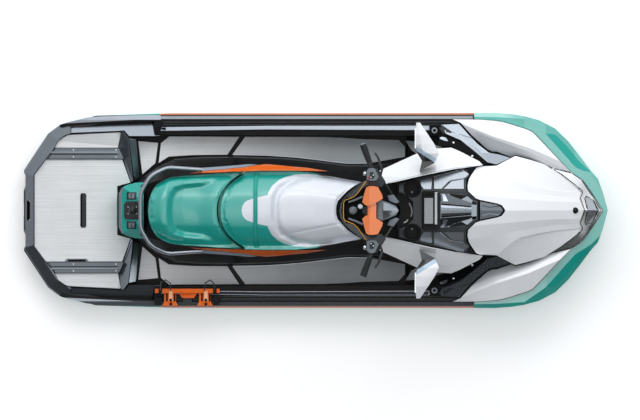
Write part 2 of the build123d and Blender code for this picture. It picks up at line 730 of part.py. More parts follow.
def make_handlebar():
    """The bent handlebar tube on its column."""
    half = bar_half()
    points = [(sx(x), y, z) for x, y, z in half] + [(sx(x), -y, z) for x, y, z in reversed(half)]
    tube_bar = tube(points, bar_radius, 40)
    ax, ay, az = steering_axis()
    foot = (sx(steer_x) - ax * 60, 0, steer_z - az * 60)
    head = (sx(steer_x) + ax * 154, 0, steer_z + az * 154)
    return tube_bar + rod(foot, head, column_radius)


def make_steering_neck():
    """The fixed housing that carries the steering column and leans with it."""
    up = Vector(*steering_axis())
    centre = Vector(sx(steer_x), 0, steer_z)
    foot = Plane(origin=centre - up * 230, x_dir=(0, 1, 0), z_dir=up) * RegularPolygon(78, 10)
    collar = Plane(origin=centre - up * 40, x_dir=(0, 1, 0), z_dir=up) * RegularPolygon(48, 10)
    neck = loft([foot, collar]) - rod(centre - up * 72, centre, column_radius + moving_gap)
    return neck - pedestal_body(0.5) - prism(mirrored(core_plan), 0, core_top + 0.5, -0.5)


def make_grips():
    """The rubber grips on the handlebar's ends."""
    start, towards = bar_end()
    end = start + towards * grip_length
    wide = Plane(origin=tuple(start - towards * 6), z_dir=towards) * RegularPolygon(grip_radius + 4, 14)
    slim = Plane(origin=tuple(end), z_dir=towards) * RegularPolygon(grip_radius - 1, 14)
    grip = loft([wide, slim])
    grip -= rod(tuple(start - towards * 0.2), tuple(end + towards * 5), bar_radius + 0.2)
    return [grip, starboard(grip)]


def bar_end():
    """Where the handlebar ends on the port side, and its direction inboard from there."""
    outer, inner = bar_half()[:2]
    start = Vector(sx(outer[0]), outer[1], outer[2])
    return start, (Vector(sx(inner[0]), inner[1], inner[2]) - start).normalized()


def make_switch_housings():
    """The clamped switch housings inboard of the grips."""
    plan = [(312, 240), (325, 255), (350, 257), (362, 252), (386, 205), (370, 182), (340, 180), (312, 186)]
    low, high = grip_height - 26, grip_height + 26
    slope = profile([(300, low), (300, high - 14), (330, high), (366, high - 6), (400, high - 26), (400, low)], 900)
    housing = prism(plan, low, high) & slope
    points = [(sx(x), y, z) for x, y, z in bar_half()]
    for start, end in zip(points, points[1:3]):
        housing -= rod(start, end, bar_radius + 1.5)
    housing -= rod(points[0], points[1], grip_radius + 1)
    return [housing, starboard(housing)]


def make_levers():
    """The throttle and brake levers in front of the grips."""
    up = grip_height
    lever = bar([(sx(394), 206, up), (sx(406), 250, up + 2), (sx(380), 322, up - 2), (sx(362), 348, up - 4)], 7)
    return [lever, starboard(lever)]


def make_pad():
    """The padded cover over the middle of the handlebar: two ridged lobes and a bar between them."""
    low = grip_height - 9
    lobe = [(285, 50), (297, 100), (308, 137), (320, 146), (352, 147), (380, 142), (405, 95), (410, 72)]
    lobe += [(370, 48), (325, 27), (305, 32)]
    ridge = [(280, low), (280, low + 24), (328, low + 49), (404, low + 30), (414, low + 20), (414, low)]
    port = prism(lobe, low, 1200) & profile(ridge, 900)
    link = [(318, low), (318, low + 26), (334, low + 36), (370, low + 28), (370, low)]
    return port + starboard(port) + profile(link, 48)


def make_steering_cover():
    """The ribbed block and cone in front of the handlebar pad."""
    high = grip_height - 22
    plan = [(378, 0), (378, 60), (400, 62), (440, 50), (490, 28), (507, 0)]
    side = [(378, high - 88), (378, high), (414, high - 4), (418, high - 14), (507, high - 52), (507, high - 88)]
    return prism(mirrored(plan), 300, 1200) & profile(side, 900)


# ---- mirrors -----------------------------------------------------------------
mirror_glass_box = (604, 611, 376, 498, 668, 722)


def glass_block(gap=0):
    """The mirror glass, or its recess when a gap is given."""
    x0, x1, y0, y1, z0, z1 = mirror_glass_box
    return block(sx(x0) - 20 * gap, sx(x1) + gap, y0 - gap, y1 + gap, z0 - gap, z1 + gap)


def make_mirror():
    """The mirror housing, port side: a ridged shell that narrows to its tip, on a foot."""
    rows = [(298, [(650, 664), (650, 690), (668, 704), (730, 692), (722, 664)])]
    rows += [(345, [(620, 652), (620, 718), (655, 744), (751, 700), (742, 652)])]
    rows += [(400, [(608, 652), (608, 734), (640, 760), (724, 706), (714, 652)])]
    rows += [(460, [(608, 658), (608, 738), (632, 758), (684, 716), (676, 658)])]
    rows += [(532, [(613, 690), (613, 718), (621, 728), (636, 716), (634, 690)])]
    faces = []
    for y, corners in rows:
        faces.append(make_face(Polyline(*[(sx(x), y, z) for x, z in corners], close=True)))
    housing = loft(faces, ruled=True) - glass_block(1)
    foot = prism([(634, 238), (655, 334), (700, 312), (728, 290)], 575, 663)
    return housing + foot - cowl_top() - prism(mirrored(dash_plan), 300, 570, -2)


def make_mirror_glass():
    """The mirror glass in the aft face of the housing."""
    return [glass_block(), starboard(glass_block())]


# ---- starboard bracket ---------------------------------------------------------
bracket_low = 246


def make_side_bracket():
    """The painted bracket on the starboard gunwale: a bar, a centre plate and two legs with flared feet."""
    low = bracket_low
    bar = prism([(-980, -505), (-980, -479), (-585, -479), (-585, -505)], low, low + 26)
    plate = prism([(-838, -504), (-812, -537), (-742, -537), (-722, -504)], low, low + 12)
    bracket = bar + plate
    for x in (-888, -675):
        leg = [(x - 36, -504), (x - 36, -560), (x - 48, -582), (x + 48, -582), (x + 36, -560), (x + 36, -504)]
        bracket += prism(leg, low, low + 10)
    return bracket


def make_bracket_base():
    """The black blocks that carry the bracket on the gunwale."""
    blocks = []
    for low_x, high_x in ((-984, -940), (-624, -586)):
        body = prism([(low_x, -516), (low_x, -580), (high_x, -580), (high_x, -516)], 150, bracket_low + 18)
        deck = gunwale_body() & deck_outer()
        flange = hull_mass() - above_flange()
        beside = starboard(prism(side_block_plan, 0, 900, -2) + side_bumper_space())
        blocks.append(body - deck - beside - flange)
    return blocks


def make_bracket_wires():
    """The two wire bails on the bracket."""
    high = bracket_low + 26.5
    aft = [(-948, -488, high), (-948, -488, high + 22), (-942, -437, high + 26), (-915, -425, high + 28)]
    aft += [(-884, -447, high + 26), (-886, -488, high + 22), (-886, -488, high)]
    fore = [(-678, -488, high), (-678, -488, high + 22), (-670, -442, high + 26), (-642, -425, high + 28)]
    fore += [(-617, -448, high + 26), (-614, -488, high + 22), (-614, -488, high)]
    return [bar([(sx(x), sy(y), z) for x, y, z in row], 3.4, 6) for row in (aft, fore)]


# ---- jet drive -----------------------------------------------------------------
pivot_x = transom - 70
cheek_inner = 98
socket_in = 64           # the nozzle's socket round the pump's outlet
socket_out = 73
nozzle_tail = 68         # nozzle outlet behind its pins
cheek = 7
bucket_radius = 104
bucket_wall = 8
plate_level = -draft + 36


def ring_about_x(points):
    """A body of revolution about the pump's centreline, from places along it and radii."""
    face = make_face(Polyline(*[(x, 0, r) for x, r in points], close=True))
    return Pos(0, 0, pump_axis) * revolve(face, axis=Axis.X)


def make_jet_pump():
    """The pump housing, with its outlet cone, stator vanes and the lugs that carry the nozzle and bucket."""
    outer = pump_bore + pump_wall
    front = transom + 150
    throat = pivot_x + 30
    tip = pivot_x + 8
    outlet = nozzle_bore + 4
    points = [(front, pump_bore), (front, outer), (transom - 8, outer), (throat, outlet), (tip, outlet)]
    points += [(tip, outlet - 8), (throat, outlet - 8), (transom - 8, pump_bore)]
    pump = ring_about_x(points)
    for turn in range(0, 360, 60):
        vane = Pos(transom + 6, 0, pump_axis) * Rot(turn, 0, 0) * Pos(0, 0, 52) * Box(46, 5, 60)
        pump += vane
    pump += Pos(transom + 6, 0, pump_axis) * Rot(0, 90, 0) * Cylinder(28, 60)
    for side in (1, -1):
        inner, far = pump_axis + side * (socket_out + 6), pump_axis + side * (socket_out + 16)
        pump += block(pivot_x - 12, transom - 2, -14, 14, min(inner, far), max(inner, far))
        pump += Pos(pivot_x, 0, pump_axis + side * (socket_in + 11)) * Cylinder(7, 26)
        arm = block(pivot_x - 12, transom + 4, side * 89 - 5, side * 89 + 5, pump_axis - 14, pump_axis + 14)
        pump += arm + Pos(pivot_x, side * 99, pump_axis) * Rot(90, 0, 0) * Cylinder(8, 24)
    bore = ring_about_x([(transom + 36, 0), (transom + 36, pump_bore), (front + 10, pump_bore), (front + 10, 0)])
    return pump - bore


def make_impeller():
    """The impeller: a hub on a shaft with three twisted blades."""
    place = transom + 84
    hub = Pos(place, 0, pump_axis) * Rot(0, 90, 0) * Cone(26, 20, 84)
    shaft = Pos(place + 170, 0, pump_axis) * Rot(0, 90, 0) * Cylinder(14, 300)
    wheel = hub + shaft
    swept = Pos(place, 0, pump_axis) * Rot(0, 90, 0) * Cylinder(pump_bore - blade_gap, 78)
    for turn in (0, 120, 240):
        blade = Pos(place, 0, pump_axis) * Rot(turn, 0, 0) * Pos(0, 0, 50) * Rot(0, 0, 48) * Box(84, 5, 66)
        wheel += blade & swept
    return wheel


def make_nozzle():
    """The steering nozzle, hung on two upright pins by an ear above and one below."""
    rim, waist, tail = pivot_x + 5, pivot_x - 14, pivot_x - nozzle_tail
    points = [(rim, socket_in), (rim, socket_out), (waist, socket_out), (tail, nozzle_bore + nozzle_wall)]
    points += [(tail, nozzle_bore), (waist, socket_in)]
    nozzle = ring_about_x(points)
    ears = block(pivot_x - 14, pivot_x + 14, -13, 13, pump_axis - socket_out - 2, pump_axis + socket_out + 2)
    ears -= block(pivot_x - 20, pivot_x + 20, -20, 20, pump_axis - socket_in - 2, pump_axis + socket_in + 2)
    return nozzle + ears - Pos(pivot_x, 0, pump_axis) * Cylinder(7.3, 300)


def make_bucket():
    """The reverse bucket, raised over the nozzle, with a cheek each side on the pivot."""
    place = Pos(pivot_x, 0, pump_axis) * Rot(90, 0, 0)
    outer = place * Cylinder(bucket_radius + bucket_wall, 2 * (cheek_inner + cheek + 7))
    inner = place * Cylinder(bucket_radius, 2 * (cheek_inner + 7))
    corners = [(0, 0), (90, 240), (-330, 240), (-330, 60)]
    wedge = make_face(Polyline(*[(pivot_x + x, -300, pump_axis + z) for x, z in corners], close=True))
    sector = extrude(wedge, 600, dir=(0, 1, 0))
    bucket = (outer - inner) & sector
    hub = place * Cylinder(20, 2 * (cheek_inner + cheek + 7))
    bucket += hub - place * Cylinder(30, 2 * (cheek_inner + 7))
    return bucket - place * Cylinder(8.3, 600)


def make_ride_plate():
    """The plate under the pump."""
    half = tunnel_half - 2
    return block(transom - 20, transom + 240, -half, half, plate_level - 10, plate_level)


def make_grate():
    """The intake grate: bars along the tunnel's mouth between two cross bars."""
    half = tunnel_half - 2
    low, top = plate_level - 10, plate_level
    bars = block(transom + 242, transom + 270, -half, half, low, top)
    bars += block(transom + 520, transom + 546, -half, half, low, top)
    for y in (-90, -45, 0, 45, 90):
        bars += block(transom + 242, transom + 546, y - 5, y + 5, low, top)
    return bars


def make_sponsons():
    """The fins bolted low on the hull's sides near the stern."""
    fin = prism([(-1420, 500), (-1420, 580), (-1330, 596), (-800, 596), (-700, 560), (-700, 500)], -40, -6)
    fin -= hull_mass()
    return [fin, starboard(fin)]




def make_step():
    """The folding boarding step, stowed under the stern overhang."""
    far = step_hinge_x + step_reach
    points = [(step_hinge_x, -step_half, step_hinge_z), (far, -step_half, step_hinge_z)]
    points += [(far, step_half, step_hinge_z), (step_hinge_x, step_half, step_hinge_z)]
    frame = bar(points, step_radius)
    tread = block(far - 34, far + 6, -110, 110, step_hinge_z - 12, step_hinge_z + 6)
    tread -= block(far - 28, far - 20, -100, 100, step_hinge_z - 20, step_hinge_z + 20)
    end = step_half + step_radius + 13
    return frame + tread + rod((step_hinge_x, -end, step_hinge_z), (step_hinge_x, end, step_hinge_z), step_radius)


# ---- mats, strips and strap --------------------------------------------------
mat_aft = [(-1088, 426), (-966, 416), (-982, 292), (-1062, 222)]
mat_middle = [(-948, 414), (-897, 455), (-467, 453), (-540, 343), (-750, 341), (-900, 332), (-962, 292)]
mat_front = [(-430, 453), (50, 452), (150, 448), (300, 438), (513, 433), (552, 392), (552, 330), (350, 294)]
mat_front += [(300, 292), (200, 292), (100, 303), (0, 316), (-100, 327), (-200, 335), (-300, 341), (-508, 345)]


def make_footwell_mats():
    """The foam mats in the footwells, three each side."""
    mats = []
    for plan in (mat_aft, mat_middle, mat_front):
        mat = prism(plan, floor_height, floor_height + mat_thickness) - pedestal_body(2)
        mats += [mat, starboard(mat)]
    return mats


def make_gunwale_strips():
    """The silver strips along the gunwale tops."""
    plan = [(-985, 488), (-985, 510), (-300, 519), (700, 519), (700, 492), (-300, 497)]
    high = [(-1030, flange_z(-1030) + deck_rise + 4), (900, flange_z(900) + deck_rise - 16)]
    strip = prism(plan, 0, 900) & profile([(-1030, 0)] + high + [(900, 0)], 900)
    strip = strip - gunwale_body()
    block_space = prism(side_block_plan, 0, 900, -2)
    strip -= block_space
    return [strip, starboard(strip)]


def make_seat_strap():
    """The strap across the front cushion."""
    skin = 5
    raised = Pos(0, 0, skin) * cushion_mass() + cushion_mass()
    band = block(sx(-376), sx(-348), -400, 400, seat_front - 70, 900)
    return ((raised & band) - cushion_mass()) & block(sx(-400), sx(-300), -230, 230, 0, 900)


def write(name, solids):
    """Write one named sub-part."""
    if isinstance(solids, list):
        solids = Compound(children=list(solids))
    export_step(solids, f"parts/{name}.step")


def pair(port):
    """A port piece and its starboard twin."""
    return [port, starboard(port)]


def main():
    os.makedirs("parts", exist_ok=True)
    write("hull", make_hull())
    write("engine", make_engine())
    write("deck", make_deck())
    write("side_bumpers", pair(make_side_bumper()))
    write("bow_bumper", make_bow_bumper())
    write("rear_deck_frame", make_rear_deck_frame())
    write("side_blocks", pair(make_side_block()))
    write("rear_deck_mats", make_rear_mats())
    write("rear_deck_rails", make_rear_rails())
    write("footwell_mats", make_footwell_mats())
    write("gunwale_strips", make_gunwale_strips())
    write("seat_base", make_seat_base())
    write("rear_seat", make_rear_seat())
    write("front_seat", make_front_seat())
    write("seat_strap", make_seat_strap())
    write("grab_rail", make_grab_rail())
    write("tail_cover", make_tail_cover())
    write("tow_mount", make_tow_mount())
    write("console_core", make_core())
    write("side_cowls", pair(make_side_cowl()))
    write("fenders", pair(make_fender()))
    write("inner_panels", pair(make_inner_panel()))
    write("support_arms", pair(make_support_arm()))
    write("storage_bin", make_bin())
    write("hood", make_hood())
    write("hood_duct", make_hood_duct())
    write("nose_panel", make_nose_panel())
    write("nose_lens", make_nose_lens())
    write("dash", make_dash())
    write("dash_panels", make_dash_panels())
    write("cup_holders", make_cup_holders())
    write("meter", make_meter())
    write("console_lid", make_console_lid())
    write("steering_neck", make_steering_neck())
    write("handlebar", make_handlebar())
    write("handlebar_pad", make_pad())
    write("grips", make_grips())
    write("switch_housings", make_switch_housings())
    write("levers", make_levers())
    write("steering_cover", make_steering_cover())
    write("mirrors", pair(make_mirror()))
    write("mirror_glass", make_mirror_glass())
    write("side_bracket", make_side_bracket())
    write("bracket_base", make_bracket_base())
    write("bracket_wires", make_bracket_wires())
    write("jet_pump", make_jet_pump())
    write("impeller", make_impeller())
    write("steering_nozzle", make_nozzle())
    write("reverse_bucket", make_bucket())
    write("ride_plate", make_ride_plate())
    write("intake_grate", make_grate())
    write("sponsons", make_sponsons())
    write("boarding_step", make_step())


main()
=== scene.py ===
"""The finishes, soft parts and small trim of a three-seat personal watercraft.

Metres in the shaders and the seats; millimetres in the plan outlines and heights of the trim.
+X is the bow, +Y is port, +Z is up, and the waterline is z = 0.
"""
import bmesh
import bpy
import math
import numpy as np
from mathutils import Matrix, Vector
from mathutils.bvhtree import BVHTree


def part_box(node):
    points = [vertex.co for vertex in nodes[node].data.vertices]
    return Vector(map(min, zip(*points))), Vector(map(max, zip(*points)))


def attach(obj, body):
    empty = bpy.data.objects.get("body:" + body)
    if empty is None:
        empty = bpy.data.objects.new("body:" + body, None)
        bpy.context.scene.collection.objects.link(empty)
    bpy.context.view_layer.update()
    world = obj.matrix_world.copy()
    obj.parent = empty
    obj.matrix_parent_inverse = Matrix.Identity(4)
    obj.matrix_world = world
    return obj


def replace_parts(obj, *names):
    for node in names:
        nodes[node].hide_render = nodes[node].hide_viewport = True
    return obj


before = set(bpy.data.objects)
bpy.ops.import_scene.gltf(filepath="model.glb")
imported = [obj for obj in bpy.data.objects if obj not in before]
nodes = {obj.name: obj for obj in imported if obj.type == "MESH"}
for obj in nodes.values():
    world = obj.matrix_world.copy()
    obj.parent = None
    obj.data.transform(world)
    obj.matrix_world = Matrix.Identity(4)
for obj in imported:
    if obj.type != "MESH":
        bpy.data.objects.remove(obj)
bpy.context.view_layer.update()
MM = 0.001
PORT, STARBOARD = 1, -1
BOTH = (PORT, STARBOARD)
CRAFT, BARS, HOOD = "craft", "handlebar", "hood"


# ---- colour and shader helpers --------------------------------------------------
def tone(code):
    """A linear colour from an sRGB hex code such as 14A598."""
    parts = [int(code[i:i + 2], 16) / 255 for i in (0, 2, 4)]
    linear = [c / 12.92 if c <= 0.04045 else ((c + 0.055) / 1.055) ** 2.4 for c in parts]
    return (*linear, 1.0)


def add_node(tree, kind, values=None, feeds=None):
    """Add a shader node. values set its options or sockets, feeds link outputs to its sockets."""
    made = tree.nodes.new("ShaderNode" + kind)
    for key, value in (values or {}).items():
        if isinstance(key, str) and hasattr(made, key):
            setattr(made, key, value)
        else:
            made.inputs[key].default_value = value
    for key, source in (feeds or {}).items():
        tree.links.new(source, made.inputs[key])
    return made


def new_material(name, settings=None):
    """A material with its output and a Principled shader that has the given settings."""
    material = bpy.data.materials.new(name)
    material.use_nodes = True
    tree = material.node_tree
    tree.nodes.clear()
    shader = add_node(tree, "BsdfPrincipled", settings)
    add_node(tree, "OutputMaterial", feeds={"Surface": shader.outputs["BSDF"]})
    return material, tree, shader


def spot_of(tree):
    """Object coordinates, in metres."""
    return add_node(tree, "TexCoord").outputs["Object"]


def axis_of(tree, axis):
    """One Object coordinate, in metres."""
    return add_node(tree, "SeparateXYZ", feeds={"Vector": spot_of(tree)}).outputs[axis]


def sums(tree, operation, a, b=None, clamp=False):
    """A Math node on two values, each a number or an output."""
    node = add_node(tree, "Math", {"operation": operation, "use_clamp": clamp})
    for slot, value in enumerate((a, b)):
        if isinstance(value, (int, float)):
            node.inputs[slot].default_value = value
        elif value is not None:
            tree.links.new(value, node.inputs[slot])
    return node.outputs["Value"]


def noise(tree, size, detail=3.0):
    """Cloudy noise whose patches are about size metres across."""
    values = {"Scale": 1 / size, "Detail": detail}
    return add_node(tree, "TexNoise", values, {"Vector": spot_of(tree)}).outputs["Fac"]


def pebbles(tree, size):
    """Rounded grains about size metres across."""
    return add_node(tree, "TexVoronoi", {"Scale": 1 / size}, {"Vector": spot_of(tree)}).outputs["Distance"]


def mix(tree, share, a, b):
    """Colour a where share is 0 and b where it is 1; each is a hex code or an output."""
    node = add_node(tree, "Mix", {"data_type": "RGBA"})
    tree.links.new(share, node.inputs["Factor"])
    for slot, value in ((6, a), (7, b)):
        if isinstance(value, str):
            node.inputs[slot].default_value = tone(value)
        else:
            tree.links.new(value, node.inputs[slot])
    return node.outputs[2]


def ramp(tree, value, low, high, out_low=0.0, out_high=1.0):
    """A straight ramp from out_low at low to out_high at high."""
    values = {"From Min": low, "From Max": high, "To Min": out_low, "To Max": out_high}
    return add_node(tree, "MapRange", values, {"Value": value}).outputs["Result"]


def within(tree, value, start, end):
    """1 between two edges and 0 beyond them; each edge is its outer and its inner value."""
    return sums(tree, "MULTIPLY", ramp(tree, value, *start), ramp(tree, value, *end))


def bump(tree, shader, height, depth, strength=1.0):
    """Add bump of the given depth in metres to what the shader already has."""
    feeds = {"Height": height}
    previous = shader.inputs["Normal"].links
    if previous:
        feeds["Normal"] = previous[0].from_socket
    made = add_node(tree, "Bump", {"Strength": strength, "Distance": depth}, feeds)
    tree.links.new(made.outputs["Normal"], shader.inputs["Normal"])


def varied(tree, colour, spread, size):
    """A hex code or an output with a slow drift of value, as batches and handling leave it."""
    shade = ramp(tree, noise(tree, size), 0.3, 0.7, 1 - spread, 1 + spread)
    node = add_node(tree, "VectorMath", {"operation": "MULTIPLY"}, {1: shade})
    if isinstance(colour, str):
        node.inputs[0].default_value = tone(colour)[:3]
    else:
        tree.links.new(colour, node.inputs[0])
    return node.outputs["Vector"]


def tint(tree, shader, colour, spread, size):
    """Give the shader a colour that drifts a little."""
    tree.links.new(varied(tree, colour, spread, size), shader.inputs["Base Color"])


def worn_edges(tree, colour, edge_colour, share):
    """Slightly paler, scuffed edges, 3 mm wide, where the moulding is rubbed."""
    bevel = add_node(tree, "Bevel", {"samples": 4, "Radius": 0.003})
    flat = add_node(tree, "NewGeometry").outputs["Normal"]
    dot = add_node(tree, "VectorMath", {"operation": "DOT_PRODUCT"}, {0: bevel.outputs["Normal"], 1: flat})
    edge = ramp(tree, dot.outputs["Value"], 0.995, 0.9, 0.0, share)
    edge = sums(tree, "MULTIPLY", edge, ramp(tree, noise(tree, 0.02), 0.35, 0.65), clamp=True)
    return mix(tree, edge, colour, edge_colour)


# ---- finishes ---------------------------------------------------------------------
GELCOAT_TEAL, GELCOAT_WHITE, ORANGE = "14A598", "EDEFF2", "EA6A1F"
BARE, LACQUERED = "000000", "E8E8E8"     # how metallic a bumper's rubber and its aft caps are


def plain(name, colour, settings, spread, size, layers=()):
    """One colour with a slow drift, shader settings, and layers of bump: size, detail, depth, strength."""
    material, tree, shader = new_material(name, settings)
    tint(tree, shader, colour, spread, size)
    for patch, detail, depth, strength in layers:
        bump(tree, shader, noise(tree, patch, detail), depth, strength)
    return material


def gelcoat(name, colour, shine=0.5, coat=0.6, coat_ior=1.5):
    """Sprayed gelcoat under a clear coat: deep colour, sharp sheen, the faint ripple of a moulding."""
    settings = {"Roughness": 0.34, "Specular IOR Level": shine, "Coat Weight": coat, "Coat Roughness": 0.12,
                "Coat IOR": coat_ior}
    return plain(name, colour, settings, 0.03, 0.35, [(0.05, 1.0, 0.0006, 0.25), (0.0022, 1.0, 0.00006, 0.3)])


def moulded(name, colour, roughness=0.5, grain=0.0022, depth=0.00022, edge="8A9094", shine=0.4):
    """Injection-moulded ABS or rubber: a grain that dulls the sheen, and paler rubbed edges.

    grain is its spacing in metres. ABS has it at 2.2 mm, coarser than a spark-eroded one, so that it shows.
    """
    material, tree, shader = new_material(name, {"Roughness": roughness, "Specular IOR Level": shine})
    body = worn_edges(tree, varied(tree, colour, 0.06, 0.22), edge, 0.35)
    tree.links.new(body, shader.inputs["Base Color"])
    bump(tree, shader, pebbles(tree, grain), depth, 0.6)
    return material


def gloss_black(name, shine=0.25):
    """Polished black ABS: nearly black, with a smooth skin that keeps a soft reflection."""
    settings = {"Roughness": 0.24, "Specular IOR Level": shine}
    return plain(name, "0B0D0F", settings, 0.1, 0.3, [(0.08, 1.0, 0.0006, 0.15)])


def graphite(name, colour, metallic=0.95, roughness=0.27):
    """ABS sprayed with metallic lacquer: flake that turns light or dark with the slope of the face.

    The flake is drawn at 1.2 mm, coarser than a real one, so that it shows.
    """
    material, tree, shader = new_material(name, {"Metallic": metallic, "Roughness": roughness})
    tint(tree, shader, varied(tree, colour, 0.03, 0.2), 0.03, 0.0012)
    bump(tree, shader, noise(tree, 0.0012, 1.0), 0.00001, 0.2)
    return material


def deck_foam(name, aft, fore):
    """Closed-cell EVA sheet, milled with fine fore-and-aft grooves, with long brushed streaks along them; a
    darker fore colour and the darker grooves are painted shade.
    """
    spacing, share = 0.012, 0.2
    material, tree, shader = new_material(name, {"Roughness": 0.85})
    # painted shade: the sheet darkens towards the bow wherever its fore colour is darker than its aft one
    body = mix(tree, ramp(tree, axis_of(tree, "X"), -0.95, 0.1), aft, fore)
    wave = sums(tree, "FRACT", sums(tree, "DIVIDE", axis_of(tree, "Y"), spacing))
    land = sums(tree, "ABSOLUTE", sums(tree, "SUBTRACT", wave, 0.5))
    groove = ramp(tree, land, share * 0.5, share * 0.5 - 0.06)
    stretched = add_node(tree, "Mapping", {"Scale": (2.5, 160.0, 1.0)}, {"Vector": spot_of(tree)})
    feeds = {"Vector": stretched.outputs["Vector"]}
    streak = add_node(tree, "TexNoise", {"Scale": 1.0, "Detail": 3.0}, feeds).outputs["Fac"]
    streak = ramp(tree, streak, 0.35, 0.72)
    # painted shade in the grooves: they are darkened towards 3C4144
    dark = mix(tree, sums(tree, "MULTIPLY", groove, 0.10), body, "3C4144")
    dark = mix(tree, sums(tree, "MULTIPLY", streak, 0.16), dark, "6C7276")
    tint(tree, shader, dark, 0.035, 0.12)
    bump(tree, shader, groove, -0.0012, 0.6)
    bump(tree, shader, noise(tree, 0.0018, 2.0), 0.0003, 0.5)
    return material


def satin_strip(name, colour):
    """Silver-painted extrusion with a satin lacquer: a soft, even highlight along it."""
    return plain(name, colour, {"Roughness": 0.3, "Metallic": 0.25}, 0.03, 0.3, [(0.004, 1.0, 0.0001, 0.3)])


def bumper_rubber(name):
    """Extruded TPE fender, near black, with light metallic caps over its aft end, and a pale metallic band
    along its top that is a painted highlight, placed where the highlight falls.
    """
    material, tree, shader = new_material(name, {"Roughness": 0.25, "Specular IOR Level": 0.2})
    side, along = sums(tree, "ABSOLUTE", axis_of(tree, "Y")), axis_of(tree, "X")
    # painted highlight: a pale metallic band where the fender's highlight falls
    highlight_band = within(tree, side, (0.560, 0.564), (0.580, 0.577))
    cap_edge = sums(tree, "SUBTRACT", side, ramp(tree, along, -1.530, -1.102, 0.529, 0.551))
    cap = ramp(tree, cap_edge, 0.005, 0.007)
    aft = ramp(tree, along, -0.944, -0.950)
    fore_colour = mix(tree, highlight_band, "0D0F11", "8D939A")
    aft_colour = mix(tree, cap, "0A0B0C", "9DA3AB")
    tint(tree, shader, mix(tree, aft, fore_colour, aft_colour), 0.05, 0.15)
    # the metal of the aft caps and of the painted highlight band
    lacquer = mix(tree, aft, mix(tree, highlight_band, BARE, "E0E0E0"), mix(tree, cap, BARE, LACQUERED))
    tree.links.new(lacquer, shader.inputs["Metallic"])
    bump(tree, shader, noise(tree, 0.003, 2.0), 0.00012, 0.3)
    return material


def metal(name, colour, roughness, grain=None):
    """Bare or polished metal with deep reflections; grain is the cast texture's spacing in metres."""
    layers = [(grain, 4.0, 0.0005, 0.5)] if grain else []
    return plain(name, colour, {"Metallic": 1.0, "Roughness": roughness}, 0.08, 0.05, layers)


def painted_steel(name, colour, roughness=0.35, coat=0.4):
    """Powder coat over steel: even colour and a soft orange-peel skin."""
    settings = {"Roughness": roughness, "Specular IOR Level": 0.5 * coat, "Coat Weight": coat}
    material, tree, shader = new_material(name, settings)
    body = worn_edges(tree, varied(tree, colour, 0.05, 0.06), "C9C2BA", 0.25)
    tree.links.new(body, shader.inputs["Base Color"])
    bump(tree, shader, noise(tree, 0.0025, 2.0), 0.0002, 0.4)
    return material


def vinyl(name, colour=None, roughness=0.4):
    """Marine vinyl over foam; without a colour it is the seats' sewn panels.

    Its pebbled grain gives a soft, broken sheen, and is drawn at 4 mm, coarser than a real one, to show.
    """
    settings = {"Roughness": roughness, "Coat Weight": 0.9, "Coat Roughness": 0.28, "Coat IOR": 1.8,
                "Specular IOR Level": 0.3}
    material, tree, shader = new_material(name, settings)
    tint(tree, shader, colour or seat_panels(tree), 0.03 if colour else 0.02, 0.1)
    bump(tree, shader, pebbles(tree, 0.004), 0.0004, 0.5)
    bump(tree, shader, noise(tree, 0.02, 3.0), 0.0008, 0.4)
    return material


def seat_panels(tree):
    """Teal, white and dark grey panels, placed by the shade and flank attributes."""
    shade, flank = (add_node(tree, "Attribute", {"attribute_name": name}).outputs["Fac"]
                    for name in ("shade", "flank"))
    pale = mix(tree, ramp(tree, shade, 0.47, 0.53), "0E9E92", "D6DAE2")
    return mix(tree, ramp(tree, flank, 0.45, 0.55), pale, "33383B")


def webbing(name, colour):
    """Woven polyester: rows of weft 1.6 mm apart, coarser than the real ones so that they show."""
    material, tree, shader = new_material(name, {"Roughness": 0.6})
    values = {"Scale": 200.0, "bands_direction": "Y"}
    rows = add_node(tree, "TexWave", values, {"Vector": spot_of(tree)}).outputs["Fac"]
    tint(tree, shader, colour, 0.05, 0.03)
    bump(tree, shader, rows, 0.0006, 0.5)
    return material


def hull_paint(name):
    """Teal gelcoat topsides over a white bottom: a dark boot line, an orange line and a black rail seat."""
    settings = {"Roughness": 0.3, "Coat Weight": 0.8, "Coat Roughness": 0.1}
    material, tree, shader = new_material(name, settings)
    height, along = axis_of(tree, "Z"), axis_of(tree, "X")
    side = sums(tree, "ABSOLUTE", axis_of(tree, "Y"))
    colour = mix(tree, ramp(tree, height, -0.100, -0.098), "E4E7EA", GELCOAT_TEAL)
    boot_line = within(tree, height, (-0.116, -0.114), (-0.100, -0.102))
    colour = mix(tree, boot_line, colour, "1A1D1F")
    aft_rise = ramp(tree, along, -0.9, 0.0, 0.108, 0.128)
    flange = sums(tree, "ADD", aft_rise, ramp(tree, along, 0.0, 0.9, 0.0, 0.052))
    above = ramp(tree, sums(tree, "SUBTRACT", height, flange), 0.0, 0.001)
    line = sums(tree, "MULTIPLY", above, ramp(tree, side, 0.5875, 0.588))
    length = within(tree, along, (-0.957, -0.953), (1.004, 1.000))
    colour = mix(tree, sums(tree, "MULTIPLY", line, length), colour, ORANGE)
    rail_seat = sums(tree, "MULTIPLY", ramp(tree, height, 0.096, 0.098), ramp(tree, side, 0.5865, 0.586))
    rail_seat = sums(tree, "MULTIPLY", rail_seat, ramp(tree, along, 1.02, 1.01))
    tint(tree, shader, mix(tree, rail_seat, colour, "0B0C0D"), 0.03, 0.4)
    bump(tree, shader, noise(tree, 0.08, 1.0), 0.0008, 0.2)
    return material


